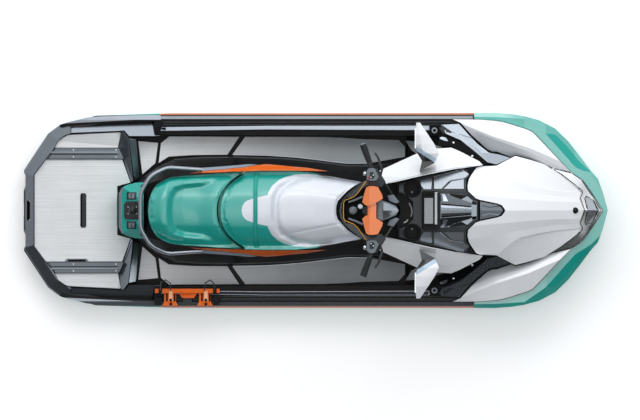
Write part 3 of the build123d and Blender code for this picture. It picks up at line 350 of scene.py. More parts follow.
def mirror_shell(name):
    """White gelcoat housings with a black foot, and above it a pale blue band of painted shade on the lower
    facets.
    """
    material, tree, shader = new_material(name, {"Roughness": 0.3, "Coat Weight": 0.6})
    along, side = axis_of(tree, "X"), sums(tree, "ABSOLUTE", axis_of(tree, "Y"))
    reach = sums(tree, "ADD", side, sums(tree, "MULTIPLY", sums(tree, "SUBTRACT", along, 0.655), 0.62))
    # painted shade: the lower facets next to the foot are painted pale blue
    colour = mix(tree, ramp(tree, reach, 0.362, 0.366), "B4C8DA", GELCOAT_WHITE)
    colour = mix(tree, ramp(tree, reach, 0.336, 0.334), colour, "24292C")
    tint(tree, shader, colour, 0.03, 0.2)
    bump(tree, shader, noise(tree, 0.05, 1.0), 0.0005, 0.2)
    return material


finishes = {
    "teal": gelcoat("teal_gelcoat", GELCOAT_TEAL, 1.0, 1.0, 1.9),
    "tail": gelcoat("tail_gelcoat", "109C90", 0.3, 0.3),
    "white": gelcoat("white_gelcoat", GELCOAT_WHITE),
    "hull": hull_paint("hull_gelcoat"),
    "mirror_shell": mirror_shell("mirror_shell"),
    "black": moulded("black_moulding", "08090B", 0.36, edge="1C2023", shine=0.15),
    "dark": moulded("dark_moulding", "2A2F31", 0.4, edge="4A5053", shine=0.25),
    "shadow": moulded("recess_black", "060708", 0.6, edge="0C0D0E", shine=0.1),
    "trim": moulded("grey_trim", "6F767D", 0.42),
    "frame": graphite("frame_graphite", "8B9299"),
    "block": graphite("silver_lacquer", "959CA4", 0.97),
    "panel": graphite("panel_lacquer", "959CA4", 0.97),
    "dash": moulded("dash_moulding", "373C3E", 0.42, edge="5A6063", shine=0.25),
    "dash_light": graphite("dash_lacquer", "8A9097"),
    "foam_deck": deck_foam("deck_foam", "E9EBED", "E9EBED"),
    "foam_pad": deck_foam("pad_foam", "DCDEE0", "DCDEE0"),
    # painted shade: the footwell mats darken from F4F5F6 aft to A6ABAE forward
    "foam_floor": deck_foam("footwell_foam_shaded_forward", "F4F5F6", "A6ABAE"),
    "strip": satin_strip("silver_strip", "BCC2CC"),
    "rubber": bumper_rubber("bumper_tpe"),
    "gloss": gloss_black("gloss_black_abs"),
    "arm": gloss_black("satin_black_abs", 0.05),
    "nose": graphite("smoked_chrome", "F0F2F4", 1.0, 0.24),
    "duct": graphite("duct_lacquer", "7E848B", roughness=0.28),
    "orange": painted_steel("orange_powder_coat", ORANGE, 0.4, 0.1),
    "orange_pad": vinyl("orange_vinyl", "E8772E"),
    "grip": moulded("grip_rubber", "1F2224", 0.5, 0.003, 0.0004, "3A3D40", 0.3),
    "coated": painted_steel("black_powder_coat", "222528"),
    "rail": graphite("rail_lacquer", "8D929A", 0.92, 0.25),
    "cast": metal("cast_aluminium", "B9BCBE", 0.42, 0.004),
    "steel": metal("polished_steel", "D6D8DA", 0.16),
    "engine": metal("engine_casting", "6E7072", 0.6, 0.006),
    "seat": vinyl("seat_vinyl", None, 0.38),
    "webbing": webbing("teal_webbing", "109C90"),
    "lens": plain("lens_polycarbonate", "C9CED4",
                  {"Roughness": 0.08, "Transmission Weight": 0.35, "IOR": 1.58}, 0.04, 0.03),
    "mirror": plain("mirror_glass", "D5DAE0", {"Metallic": 1.0, "Roughness": 0.03}, 0.02, 0.05),
    "screen": gloss_black("screen_surround"),
    # painted reflection: the screen's mid grey stands for the pale studio mirrored in its glass
    "display": moulded("screen_painted_reflection", "999DA0", 0.3, 0.001, 0.00002),
    # silver trim, also used for painted glints and painted highlight lines on the dash
    "silver": satin_strip("silver_trim_and_glints", "C6CAD0"),
    "yellow": painted_steel("amber_trim", "D9A02C"),
    # bright screw heads, also used for painted glints on the switches and painted highlight lines on the nose
    "white_dot": satin_strip("bright_screws_and_glints", "F2F2F2"),
    "rail_ridge": moulded("rail_ridge_grey", "8A9198", 0.4),
    "gunwale_ridge": moulded("gunwale_ridge_grey", "3C4044", 0.45),
    "orange_flash": painted_steel("orange_lacquer", "E8691C", 0.35, 0.2),
    "pale_flash": satin_strip("pale_blue_lacquer", "A9B6C6"),
    "rib": moulded("ribbed_trim", "5E6468", 0.4),
    "red": gelcoat("red_button", "B3201A"),
    # painted shade: a darker teal for the shaded patches on the bow bumper
    "shade_teal": gelcoat("deep_teal_gelcoat", "10A094", 0.3, 0.2),
    "lever_orange": painted_steel("pale_orange_coat", "F0B184"),
    "strip_lacquer": graphite("strip_lacquer", "7B818A", 0.97, 0.25),
    # painted shade: a darker copy of the dash lacquer, for the console lid's sloped flanks
    "lid": graphite("lid_flank_painted_shade", "43474B"),
    "tail_rim": moulded("tail_rim_abs", "75727F", 0.4),
    "cone": graphite("cone_lacquer", "A9B0B8", 0.95, 0.25),
    "lens_tint": graphite("tinted_lens", "BFC4CA", 0.92, 0.2),
    "piping": vinyl("dark_teal_vinyl", "075850"),
    "thread": webbing("dark_teal_thread", "0A7068"),
}

node_finishes = {
    "hull": "hull", "white": "side_cowls fenders hood", "teal": "bow_bumper", "tail": "tail_cover",
    "black": "deck seat_base console_core storage_bin cup_holders bracket_base steering_neck",
    "rubber": "side_bumpers sponsons", "frame": "rear_deck_frame", "block": "side_blocks",
    "panel": "inner_panels", "arm": "support_arms", "duct": "hood_duct", "nose": "nose_panel",
    "lens": "nose_lens", "dash": "dash", "dash_light": "dash_panels console_lid", "screen": "meter",
    "foam_deck": "rear_deck_mats", "foam_floor": "footwell_mats", "strip": "gunwale_strips",
    "seat": "rear_seat front_seat", "webbing": "seat_strap", "rail": "grab_rail",
    "trim": "rear_deck_rails switch_housings steering_cover",
    "coated": "tow_mount handlebar levers bracket_wires", "orange_pad": "handlebar_pad", "grip": "grips",
    "mirror_shell": "mirrors", "mirror": "mirror_glass", "orange": "side_bracket", "engine": "engine",
    "cast": "jet_pump steering_nozzle reverse_bucket ride_plate intake_grate",
    "steel": "impeller boarding_step",
}


def dress(obj, finish):
    """Give an object one finish."""
    obj.data.materials.clear()
    obj.data.materials.append(finishes[finish])


for finish, names in node_finishes.items():
    for name in names.split():
        dress(nodes[name], finish)


# ---- modelling helpers --------------------------------------------------------------
surfaces = {}


def surface_of(names):
    """A ray-casting tree over CAD nodes or finished pieces, named in one string."""
    if names not in surfaces:
        points, faces = [], []
        for name in names.split():
            mesh = (nodes.get(name) or bpy.data.objects[name]).data
            start = len(points)
            points += [v.co.copy() for v in mesh.vertices]
            faces += [[start + i for i in p.vertices] for p in mesh.polygons]
        surfaces[names] = BVHTree.FromPolygons(points, faces)
    return surfaces[names]


def height_at(names, x, y, default=0.0):
    """Height of the top of the named nodes at one place in plan, in metres."""
    hit = surface_of(names).ray_cast(Vector((x, y, 2)), Vector((0, 0, -1)))[0]
    return hit.z if hit else default


def on_top(names, x, y):
    """Height of the top of the named nodes at one place in plan, in millimetres."""
    return height_at(names, x * MM, y * MM) / MM


def linked(name, data):
    """A new object in the scene."""
    obj = bpy.data.objects.new(name, data)
    bpy.context.scene.collection.objects.link(obj)
    return obj


def from_bmesh(name, bm):
    """A new object whose mesh takes over a bmesh."""
    mesh = bpy.data.meshes.new(name)
    bm.to_mesh(mesh)
    bm.free()
    return linked(name, mesh)


def joined(parts):
    """One bmesh from several."""
    whole_bm = bmesh.new()
    for bm in parts:
        mesh = bpy.data.meshes.new("part")
        bm.to_mesh(mesh)
        bm.free()
        whole_bm.from_mesh(mesh)
        bpy.data.meshes.remove(mesh)
    return whole_bm


def both(make):
    """One bmesh from what make(side) gives for port and for starboard."""
    return joined(make(side) for side in BOTH)


def piece(name, bm, finish, slot=None, body=CRAFT, edge=0.0, smooth=40):
    """A finished object from a bmesh, riding on a body. The slot argument is not used."""
    bmesh.ops.recalc_face_normals(bm, faces=bm.faces)
    obj = from_bmesh(name, bm)
    obj.data.shade_smooth()
    obj.data.set_sharp_from_angle(angle=math.radians(smooth))
    obj.data.materials.append(finishes[finish])
    if edge:
        rounding = obj.modifiers.new("edge", "BEVEL")
        rounding.width = edge
        rounding.segments = 2
        rounding.limit_method = "ANGLE"
    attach(obj, body)
    return obj


def plan_face(points, side=PORT, level=0):
    """A flat face from plan points at one level, in millimetres."""
    bm = bmesh.new()
    bm.faces.new([bm.verts.new((x * MM, side * y * MM, level * MM)) for x, y in points])
    return bm


def thicken(bm, height):
    """Extrude every face straight up by a height in millimetres, and return the new vertices."""
    grown = bmesh.ops.extrude_face_region(bm, geom=bm.faces[:])["geom"]
    moved = [g for g in grown if isinstance(g, bmesh.types.BMVert)]
    bmesh.ops.translate(bm, vec=(0, 0, height * MM), verts=moved)
    return moved


def grid_cut(bm, step):
    """Cut a plan face along a square grid so that it can follow a curved surface."""
    for axis in (0, 1):
        values = [v.co[axis] for v in bm.verts]
        count = math.floor((max(values) - min(values)) / step)
        normal = Vector((1, 0, 0)) if axis == 0 else Vector((0, 1, 0))
        for i in range(1, count + 1):
            spot = normal * (min(values) + i * (max(values) - min(values)) / (count + 1))
            geometry = bm.verts[:] + bm.edges[:] + bm.faces[:]
            bmesh.ops.bisect_plane(bm, geom=geometry, plane_co=spot, plane_no=normal)


def rise_from(line, slope, start=0):
    """A height in millimetres that changes with the distance from a plan line, and never drops below 0."""
    return lambda x, y: max(0, start + slope * distance_to(np.array([[x, y]]), line)[0])


def laid_on(points, names, side=PORT, lift=1.0, thick=1.5, step=18, rise=None):
    """A thin sheet of a plan outline, laid on CAD nodes, its top raised by rise(x, y); all in millimetres."""
    bm = plan_face(points, side)
    grid_cut(bm, step * MM)
    known = None
    for v in bm.verts:
        z = height_at(names, v.co.x, v.co.y, None)
        known = z if z is not None else known
        v.co.z = (known or 0) + lift * MM
    for v in thicken(bm, thick):
        v.co.z += rise(v.co.x / MM, abs(v.co.y) / MM) * MM if rise else 0
    return bm


def strips(name, shapes, names, finish, lift=0.3, thick=1.5, step=18, rise=None, sides=BOTH, **more):
    """A piece of thin sheets laid on CAD nodes, one for each outline and side."""
    sheets = (laid_on(shape, names, side, lift, thick, step, rise) for shape in shapes for side in sides)
    return piece(name, joined(sheets), finish, **more)


def slab(points, low, high, side=PORT, edge=0.0):
    """A plan outline raised between two heights, all in millimetres."""
    bm = plan_face(points, side, low)
    thicken(bm, high - low)
    if edge:
        rim = [e for e in bm.edges if all(v.co.z > high * MM - 1e-6 for v in e.verts)]
        cut = dict(offset=edge * MM, segments=2, profile=0.5, affect="EDGES", material=-1)
        bmesh.ops.bevel(bm, geom=rim, **cut)
    return bm


def slabs(shapes, low, high, sides=BOTH, edge=0.0):
    """Several slabs of one height, on the given sides."""
    return joined(slab(shape, low, high, side, edge) for side in sides for shape in shapes)


def ring_slab(points, width, low, high, side=PORT):
    """A flat frame that follows a plan outline, its inner edge width millimetres in."""
    bm = plan_face(points, side, low)
    bm.normal_update()
    face = bm.faces[:]
    bmesh.ops.inset_individual(bm, faces=face, thickness=width * MM, use_even_offset=True)
    bmesh.ops.delete(bm, geom=face, context="FACES_ONLY")
    thicken(bm, high - low)
    return bm


def sloped_slab(points, corner, rise, low, side):
    """A plan outline whose top runs on a plane, from the height of a corner and the rise along X and Y."""
    bm = plan_face(points, side, low)
    for v in thicken(bm, 0):
        away_x, away_y = v.co.x / MM - corner[0], abs(v.co.y) / MM - corner[1]
        v.co.z = (corner[2] + rise[0] * away_x + rise[1] * away_y) * MM
    return bm


def folded(faces, thick=2.0):
    """Flat facets that share their edges, from (x, y, z) corners in millimetres, thickened downwards."""
    def half(side):
        bm = bmesh.new()
        for corners in faces:
            bm.faces.new([bm.verts.new((x * MM, side * y * MM, z * MM)) for x, y, z in corners])
        bmesh.ops.remove_doubles(bm, verts=bm.verts, dist=1e-5)
        thicken(bm, -thick)
        return bm
    return both(half)


def between(near, far):
    """The facets between two lines of corners."""
    return [[near[i], near[i + 1], far[i + 1], far[i]] for i in range(len(near) - 1)]


def band(line, width):
    """The outline of a strip of the given width along a plan line, in millimetres."""
    left, right = [], []
    for i, (x, y) in enumerate(line):
        ahead = Vector(line[min(i + 1, len(line) - 1)])
        behind = Vector(line[max(i - 1, 0)])
        side = (ahead - behind).normalized().orthogonal() * width / 2
        left.append((x + side.x, y + side.y))
        right.append((x - side.x, y - side.y))
    return left + right[::-1]


def curve_through(points, steps):
    """Points along a smooth plan curve through the given ones."""
    found = []
    points = [Vector((x, y, 0)) for x, y in points]
    for i in range(len(points) - 1):
        p = [points[max(0, min(len(points) - 1, j))] for j in (i - 1, i, i + 1, i + 2)]
        for k in range(steps):
            t = k / steps
            near = p[1] * 2 + (p[2] - p[0]) * t
            far = (p[0] * 2 - p[1] * 5 + p[2] * 4 - p[3]) * t ** 2
            far += (p[1] * 3 - p[0] - p[2] * 3 + p[3]) * t ** 3
            found.append((near + far) / 2)
    return found + [points[-1]]


def both_sides(half):
    """A line over both sides from its port half, which starts at the centreline."""
    return [(x, -y) for x, y in reversed(half) if y] + half


def pipe(points, radius, sides=10):
    """A round bar along points in metres."""
    bm = bmesh.new()
    points = [Vector(p) for p in points]
    last = None
    for i, point in enumerate(points):
        run = points[min(i + 1, len(points) - 1)] - points[max(i - 1, 0)]
        spot = Matrix.Translation(point) @ run.to_track_quat("Z", "Y").to_matrix().to_4x4()
        if last is None:
            circle = dict(cap_ends=True, segments=sides, radius=radius, matrix=spot)
            ring = bmesh.ops.create_circle(bm, **circle)["verts"]
            edges = list({e for v in ring for e in v.link_edges})
        else:
            made = bmesh.ops.extrude_edge_only(bm, edges=edges)["geom"]
            ring = [g for g in made if isinstance(g, bmesh.types.BMVert)]
            edges = [g for g in made if isinstance(g, bmesh.types.BMEdge)]
            edges = [e for e in edges if all(v in ring for v in e.verts)]
            bmesh.ops.transform(bm, matrix=spot @ last.inverted(), verts=ring)
        last = spot
    bmesh.ops.contextual_create(bm, geom=edges)
    return bm


def lathe(profile, at, axis=(0, 0, 1), steps=24):
    """A turned shape from (radius, height) pairs in millimetres, standing at a point in metres."""
    bm = bmesh.new()
    verts = [bm.verts.new((r * MM, 0, z * MM)) for r, z in profile]
    edges = [bm.edges.new(pair) for pair in zip(verts, verts[1:])]
    spin = dict(cent=(0, 0, 0), axis=(0, 0, 1), angle=math.tau, steps=steps, use_merge=True)
    bmesh.ops.spin(bm, geom=verts + edges, **spin)
    bmesh.ops.remove_doubles(bm, verts=bm.verts, dist=1e-6)
    turn = Vector(axis).to_track_quat("Z", "Y").to_matrix().to_4x4()
    bmesh.ops.transform(bm, matrix=Matrix.Translation(at) @ turn, verts=bm.verts)
    return bm


def dome(x, y, z, radius, height):
    """A domed screw or button head; all in millimetres."""
    half = [(0, 1), (0.5, 0.9), (0.85, 0.55), (1, 0)]
    profile = [(radius * across, height * up) for across, up in half] + [(radius, -1.5)]
    return lathe(profile, Vector((x, y, z)) * MM, steps=14)


def heads(spots, names, radius, height, lift=0):
    """Round heads standing on CAD nodes at plan places, on both sides."""
    return joined(dome(x, side * y, on_top(names, x, side * y) + lift, radius, height)
                  for x, y in spots for side in BOTH)


def distance_to(points, line, closed=False):
    """Distance in plan from each point to a line of plan points, all in one unit."""
    best = np.full(len(points), 1e9)
    for a, b in zip(line, line[1:] + line[:1] if closed else line[1:]):
        a, b = np.array(a), np.array(b)
        run = b - a
        t = np.clip(((points - a) @ run) / (run @ run), 0, 1)
        best = np.minimum(best, np.linalg.norm(points - a - t[:, None] * run, axis=1))
    return best


def signed(points, outline):
    """Distance to a closed plan outline, positive inside."""
    x, y = points[:, 0], points[:, 1]
    within_it = np.zeros(len(points), bool)
    for (xa, ya), (xb, yb) in zip(outline, outline[1:] + outline[:1]):
        at = xa + (y - ya) * (xb - xa) / ((yb - ya) or 1e-12)
        within_it ^= ((ya > y) != (yb > y)) & (x < at)
    away = distance_to(points, outline, closed=True)
    return np.where(within_it, away, -away)


def in_metres(line):
    """A plan line in metres."""
    return [(x * MM, y * MM) for x, y in line]


def whole(half):
    """A closed outline in metres from its port half in millimetres."""
    port = in_metres(half)
    return port + [(x, -y) for x, y in reversed(port) if abs(y) > 1e-6]


def step_up(value, low, high):
    """A smooth step from 0 to 1."""
    t = np.clip((value - low) / (high - low), 0, 1)
    return t * t * (3 - 2 * t)


def per_vertex(mesh, kind="co"):
    """The place or the normal of each vertex, as an array."""
    found = np.zeros(len(mesh.vertices) * 3)
    mesh.vertices.foreach_get(kind, found)
    return found.reshape(-1, 3)


def set_positions(mesh, found):
    """Put each vertex at its place in an array."""
    mesh.vertices.foreach_set("co", found.ravel())
    mesh.update()


def paint(mesh, name, values):
    """Store one number for each vertex."""
    layer = mesh.attributes.get(name) or mesh.attributes.new(name, "FLOAT", "POINT")
    layer.data.foreach_set("value", np.asarray(values, np.float32))


# ---- seats ----------------------------------------------------------------------------
bolster_inner = [(-906, 0), (-903, 50), (-893, 100), (-862, 145), (-800, 168), (-690, 178), (-640, 196),
                 (-600, 222)]
seat_seam = [(-585, 0), (-572, 82), (-530, 158), (-480, 205), (-420, 235)]
white_panel = [(-300, 0), (-297, 60), (-285, 110), (-262, 150), (-225, 183), (-190, 202), (-130, 218),
               (-50, 223), (50, 214), (100, 207), (200, 197), (310, 176)]
rear_inset = [(-447, 0), (-443, 25), (-430, 48), (-410, 62), (-380, 72), (-345, 82), (-300, 92), (-260, 92)]
scoop = [(-242, 0), (-240, 60), (-228, 105), (-203, 140), (-150, 172), (-100, 192), (-50, 208)]
crown, half_width = 0.066, 0.22     # how much lower a cushion's top lies at its half width than in its middle


def evaluated(obj):
    """The object with its modifiers worked out."""
    return obj.evaluated_get(bpy.context.evaluated_depsgraph_get())


def apply_modifiers(obj):
    """Make the modified mesh the object's own."""
    obj.data = bpy.data.meshes.new_from_object(evaluated(obj))
    obj.modifiers.clear()


def foam_block(name, node, voxel, shrink=0.004):
    """A closed, evenly meshed copy of a CAD cushion, a little smaller than it."""
    bm = bmesh.new()
    bm.from_mesh(nodes[node].data)
    bmesh.ops.remove_doubles(bm, verts=bm.verts, dist=1e-5)
    obj = from_bmesh(name, bm)
    remesh = obj.modifiers.new("remesh", "REMESH")
    remesh.mode = "VOXEL"
    remesh.voxel_size = voxel
    apply_modifiers(obj)
    smooth = obj.modifiers.new("smooth", "SMOOTH")
    smooth.factor = 0.5
    smooth.iterations = 6
    apply_modifiers(obj)
    set_positions(obj.data, per_vertex(obj.data) - per_vertex(obj.data, "normal") * shrink)
    return obj


def puff(obj, cap, frames=20, pressure=4.0):
    """Swell a soft solid a little with a cloth simulation, so that its faces crown and its edges pull in."""
    rest = per_vertex(obj.data)
    cloth = obj.modifiers.new("cloth", "CLOTH")
    cloth.settings.use_pressure = True
    cloth.settings.uniform_pressure_force = pressure
    cloth.settings.effector_weights.gravity = 0
    cloth.settings.mass = 0.4
    cloth.settings.tension_stiffness = 25
    cloth.settings.quality = 4
    scene = bpy.context.scene
    for step in range(1, frames + 1):
        scene.frame_set(step)
    move = per_vertex(evaluated(obj).data) - rest
    obj.modifiers.remove(cloth)
    scene.frame_set(1)
    length = np.linalg.norm(move, axis=1, keepdims=True)
    move *= np.minimum(1, cap / np.maximum(length, 1e-9))
    set_positions(obj.data, rest + move)


def cushion(name, node):
    obj = foam_block(name, node, 0.0065)
    puff(obj, 0.006)
    return obj


def up_share(obj):
    """How far each vertex faces up, from 0 to 1."""
    return step_up(per_vertex(obj.data, "normal")[:, 2], 0.05, 0.6)


def groove(obj, line, depth, width):
    """Press a sewn channel along a plan line, and its mirror, into the top of a cushion."""
    found = per_vertex(obj.data)
    plan = np.column_stack((found[:, 0], np.abs(found[:, 1])))
    away = distance_to(plan, in_metres(line))
    found[:, 2] -= depth * np.exp(-(away / width) ** 2) * up_share(obj)
    set_positions(obj.data, found)


def finish_cushion(obj, node):
    """Refine and dress a cushion, set it on the craft and hide the CAD node that it stands for."""
    refine = obj.modifiers.new("refine", "SUBSURF")
    refine.levels = 1
    refine.render_levels = 1
    obj.data.shade_smooth()
    dress(obj, "seat")
    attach(obj, CRAFT)
    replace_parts(obj, node)
    return obj


def rear_cushion():
    """The rear seat: a raised bolster round the back and sides of a dished seat."""
    obj = cushion("rear_cushion", "rear_seat")
    found = per_vertex(obj.data)
    plan = found[:, :2].copy()
    depth = signed(plan, whole(bolster_inner + [(-560, 320), (-300, 320), (-300, 0)]))
    top = up_share(obj)
    fade = 1 - 0.85 * step_up(plan[:, 0], -0.74, -0.575)
    found[:, 2] -= 0.046 * fade * step_up(depth, 0.0, 0.040) * top
    found[:, 2] += 0.010 * fade * np.exp(-((depth + 0.03) / 0.03) ** 2) * top
    found[:, 2] -= crown * (plan[:, 1] / half_width) ** 2 * top
    set_positions(obj.data, found)
    for name in ("shade", "flank"):
        paint(obj.data, name, np.zeros(len(found)))
    return finish_cushion(obj, "rear_seat")


def front_cushion():
    """The front seat: teal round the back, a white saddle with a scooped channel, grey flanks forward."""
    obj = cushion("front_cushion", "front_seat")
    groove(obj, scoop, 0.020, 0.020)
    groove(obj, [(-190, 148), (-60, 122), (150, 82)], 0.003, 0.006)
    found = per_vertex(obj.data)
    found[:, 2] -= crown * (found[:, 1] / half_width) ** 2 * up_share(obj)
    set_positions(obj.data, found)
    plan = np.column_stack((found[:, 0], np.abs(found[:, 1])))
    saddle = in_metres(white_panel) + [(0.4, 0.17), (0.4, -0.05), (-0.300, -0.05)]
    inset = in_metres(rear_inset) + [(-0.26, -0.05), (-0.447, -0.05)]
    flank = [(0.0, 0.216), (0.1, 0.206), (0.2, 0.196), (0.32, 0.174), (0.4, 0.3), (0.075, 0.3), (0.06, 0.225)]
    pale = np.maximum(signed(plan, saddle), signed(plan, inset))
    for name, share in (("shade", pale), ("flank", signed(plan, flank))):
        paint(obj.data, name, np.clip(0.5 + share / 0.01, 0, 1))
    return finish_cushion(obj, "front_seat")


rear = rear_cushion()
front = front_cushion()


# ---- rear deck trim --------------------------------------------------------------------
def rear_deck_trim():
    """The inserts, ridges and screws of the rear deck."""
    slot_floor, mat_top, rail_top = 151, 160, 176
    pad = [(-1571, 430), (-1535, 454), (-1514, 462), (-1206, 477), (-1208, 398)]
    lean_in = rise_from([pad[0], pad[-1]], 0.20)
    strips("side_mat_pads", [pad], "rear_deck_mats", "foam_pad", 0.2, 1.0, rise=lean_in)
    hand_slot = [(-1773, -67), (-1773, 67), (-1747, 48), (-1747, -48)]
    # painted shadow: a near-black plate in the hand slot stands for the shade inside it
    piece("hand_slot_shadow_plate", slab(hand_slot, 116, 120), "shadow")
    lip = [(-1788.5, -116), (-1788.5, 116), (-1779, 128), (-1779, -128)]
    piece("stern_lip", slab(lip, 126, 153, edge=1), "dark", "frame_grey")
    fill = [(-1570, 520), (-1563, 528), (-1526, 540), (-1498, 548), (-1498, 530), (-1532, 514)]
    piece("corner_fills", slabs([fill], 112, 164, edge=1), "rubber")
    floor = [(-1441, -105), (-1441, 105), (-1406, 105), (-1406, -105)]
    piece("mat_slot_floor", slab(floor, slot_floor + 0.2, slot_floor + 2), "shadow")
    lip = [(-1431, -103), (-1431, 103), (-1424, 105), (-1406, 105), (-1406, -105), (-1424, -105)]
    piece("mat_slot_lip", slab(lip, slot_floor + 2, mat_top - 2.5), "dark", "trim_grey", edge=0.001)
    corners = [[(outer, 108), (outer, 92), (inner, 108)] for outer, inner in ((-1444, -1433), (-1403, -1414))]
    piece("mat_slot_corners", slabs(corners, slot_floor, mat_top), "foam_deck")
    handle = [(-1541, 316), (-1524, 296), (-1402, 296), (-1386, 316)]
    piece("mat_handle", slab(handle, mat_top + 0.2, mat_top + 7, STARBOARD, 1.5), "trim")
    recess = [(-1517, 313), (-1517, 301), (-1408, 301), (-1408, 313)]
    piece("mat_handle_recess", slab(recess, mat_top + 6, mat_top + 8, STARBOARD), "shadow")
    ridge = [(-1622, 351), (-1622, 362), (-1210, 362), (-1205, 351)]
    piece("rail_ridges", slabs([ridge], rail_top + 0.2, rail_top + 5, edge=1.5), "rail_ridge")
    line = [(-1626, 343), (-1626, 348), (-1214, 348), (-1212, 343)]
    piece("rail_grooves", slabs([line], rail_top + 0.1, rail_top + 0.9), "shadow")
    end = [(-1640, 319), (-1600, 376), (-1597, 373), (-1634, 319)]
    piece("rail_ends", slabs([end], rail_top + 0.1, rail_top + 1.4), "dark", "trim_grey")
    spots = [(-1483, 371), (-1483, 329), (-1222, 371), (-1222, 329), (-1631, 346)]
    piece("rail_screws", heads(spots, "rear_deck_rails", 4.5, 2.2), "white_dot")


def risers():
    """The sloped kick plates between the rear deck and the footwells, and the rim of the deck's frame."""
    rim = [(-1784, 30), (-1784, 125), (-1774, 148), (-1774, 215), (-1783, 236), (-1636, 466), (-1562, 522)]
    strips("frame_rims", [band(rim, 2.2)], "rear_deck_frame", "rail_ridge", 0.1, 0.7, slot="frame_grey")
    outer = [(-1203, 392), (-1190, 480), (-1178, 488), (-1146, 446), (-1118, 178), (-1130, 178)]
    inner = [(-1142, 443), (-1100, 436), (-1081, 206), (-1112, 178)]
    plates = both(lambda side: sloped_slab(outer, (-1203, 392, 152), (0.83, 0.32), 150, side))
    treads = both(lambda side: sloped_slab(inner, (-1140, 440, 200), (-0.12, 0.36), 100, side))
    piece("kick_plates", plates, "frame", edge=0.0015)
    piece("kick_treads", treads, "frame", edge=0.0015)


def gunwale_trim():
    """The fine ridges along the gunwales, and their strips, which lean outwards."""
    ridges = [[(-930, near), (-930, far), (fore, far), (fore, near)]
              for near, far, fore in ((540.5, 543.5, 930), (527, 529, 760))]
    strips("gunwale_ridges", ridges, "deck", "gunwale_ridge", 0.2, 2.5, 60)
    inner, outer = [(-974, 491), (-300, 500), (694, 495)], [(-974, 508), (-300, 517), (694, 517)]
    lean_out = rise_from(outer, 0.42)
    strips("strip_sheets", [inner + outer[::-1]], "gunwale_strips", "strip_lacquer", 0.2, 0.6, 60, lean_out)
    edge = band([(-982, 489.5), (-300, 498.5), (696, 493.5)], 2.0)
    strips("strip_edges", [edge], "gunwale_strips", "silver", 0.2, 9.4, 60)


def pedestal_trim():
    """The painted flashes under the seat, the front mats and the light piping at the pedestal's foot."""
    flash = [(-770, 226), (-500, 236), (-330, 243), (-110, 243), (80, 240), (-50, 262), (-150, 270),
             (-250, 280), (-300, 284), (-350, 278), (-450, 262), (-700, 238)]
    strips("orange_flashes", [flash], "seat_base", "orange_flash", 0.4, 1.2)
    silver = [(-698, 260), (-560, 270), (-400, 284), (-352, 280), (-450, 264), (-690, 241)]
    strips("silver_flashes", [silver], "seat_base", "pale_flash", 0.3, 0.8)
    # the front mats take the footwell foam's darker fore colour, which is painted shade
    mat = [(556, 430), (640, 424), (712, 410), (782, 386), (735, 376), (625, 350), (592, 370)]
    strips("front_mats", [mat], "deck", "foam_floor", 0.4, 6, 60)
    foot = [(-505, 343), (-300, 339), (-200, 333), (-100, 325), (0, 314), (100, 301), (200, 290), (300, 290),
            (352, 293)]
    strips("mat_piping", [band(foot, 4)], "footwell_mats", "silver", 0.2, 1.4)


# ---- tail --------------------------------------------------------------------------------
def tail_trim():
    """The rubbing strip, recessed pads and tow-plate details behind the seat."""
    half = [(-1180, 137), (-1192, 118), (-1202, 97)]
    arc = [(-1203, y) for y in range(-92, 93, 23)]
    line = curve_through([(x, -y) for x, y in half] + arc + half[::-1], 3)
    bar = pipe([(p.x * MM, p.y * MM, 0.300) for p in line], 0.009)
    piece("tail_rubbing_strip", bar, "black")
    rim = [(-1168, 136), (-1180, 124), (-1189, 104), (-1192, 80), (-1193, 0)]
    strips("tail_rims", [band(rim, 13)], "tail_cover", "tail_rim", 0.3, 2, 12)
    pad = [(-1150, 66), (-1150, 112), (-1090, 112), (-1090, 66)]
    face = [(-1138, 74), (-1138, 104), (-1102, 104), (-1102, 74)]
    strips("tail_pads", [pad], "tail_cover", "dark", 0.3, 2.5, edge=0.0006)
    strips("tail_pad_faces", [face], "tail_cover", "trim", 2.6, 1.2)
    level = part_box("tow_mount")[0].z / MM + 23.5
    plate = [(-1156, -44), (-1148, -48), (-1084, -48), (-1076, -44), (-1076, 44), (-1084, 48), (-1148, 48),
             (-1156, 44)]
    piece("tow_plate_rim", ring_slab(plate, 7, level, level + 4), "dark", "rail_coating", edge=0.0012)
    piece("tow_plate_screws", heads([(-1140, 20), (-1088, 20)], "tow_mount", 4.5, 3), "steel")


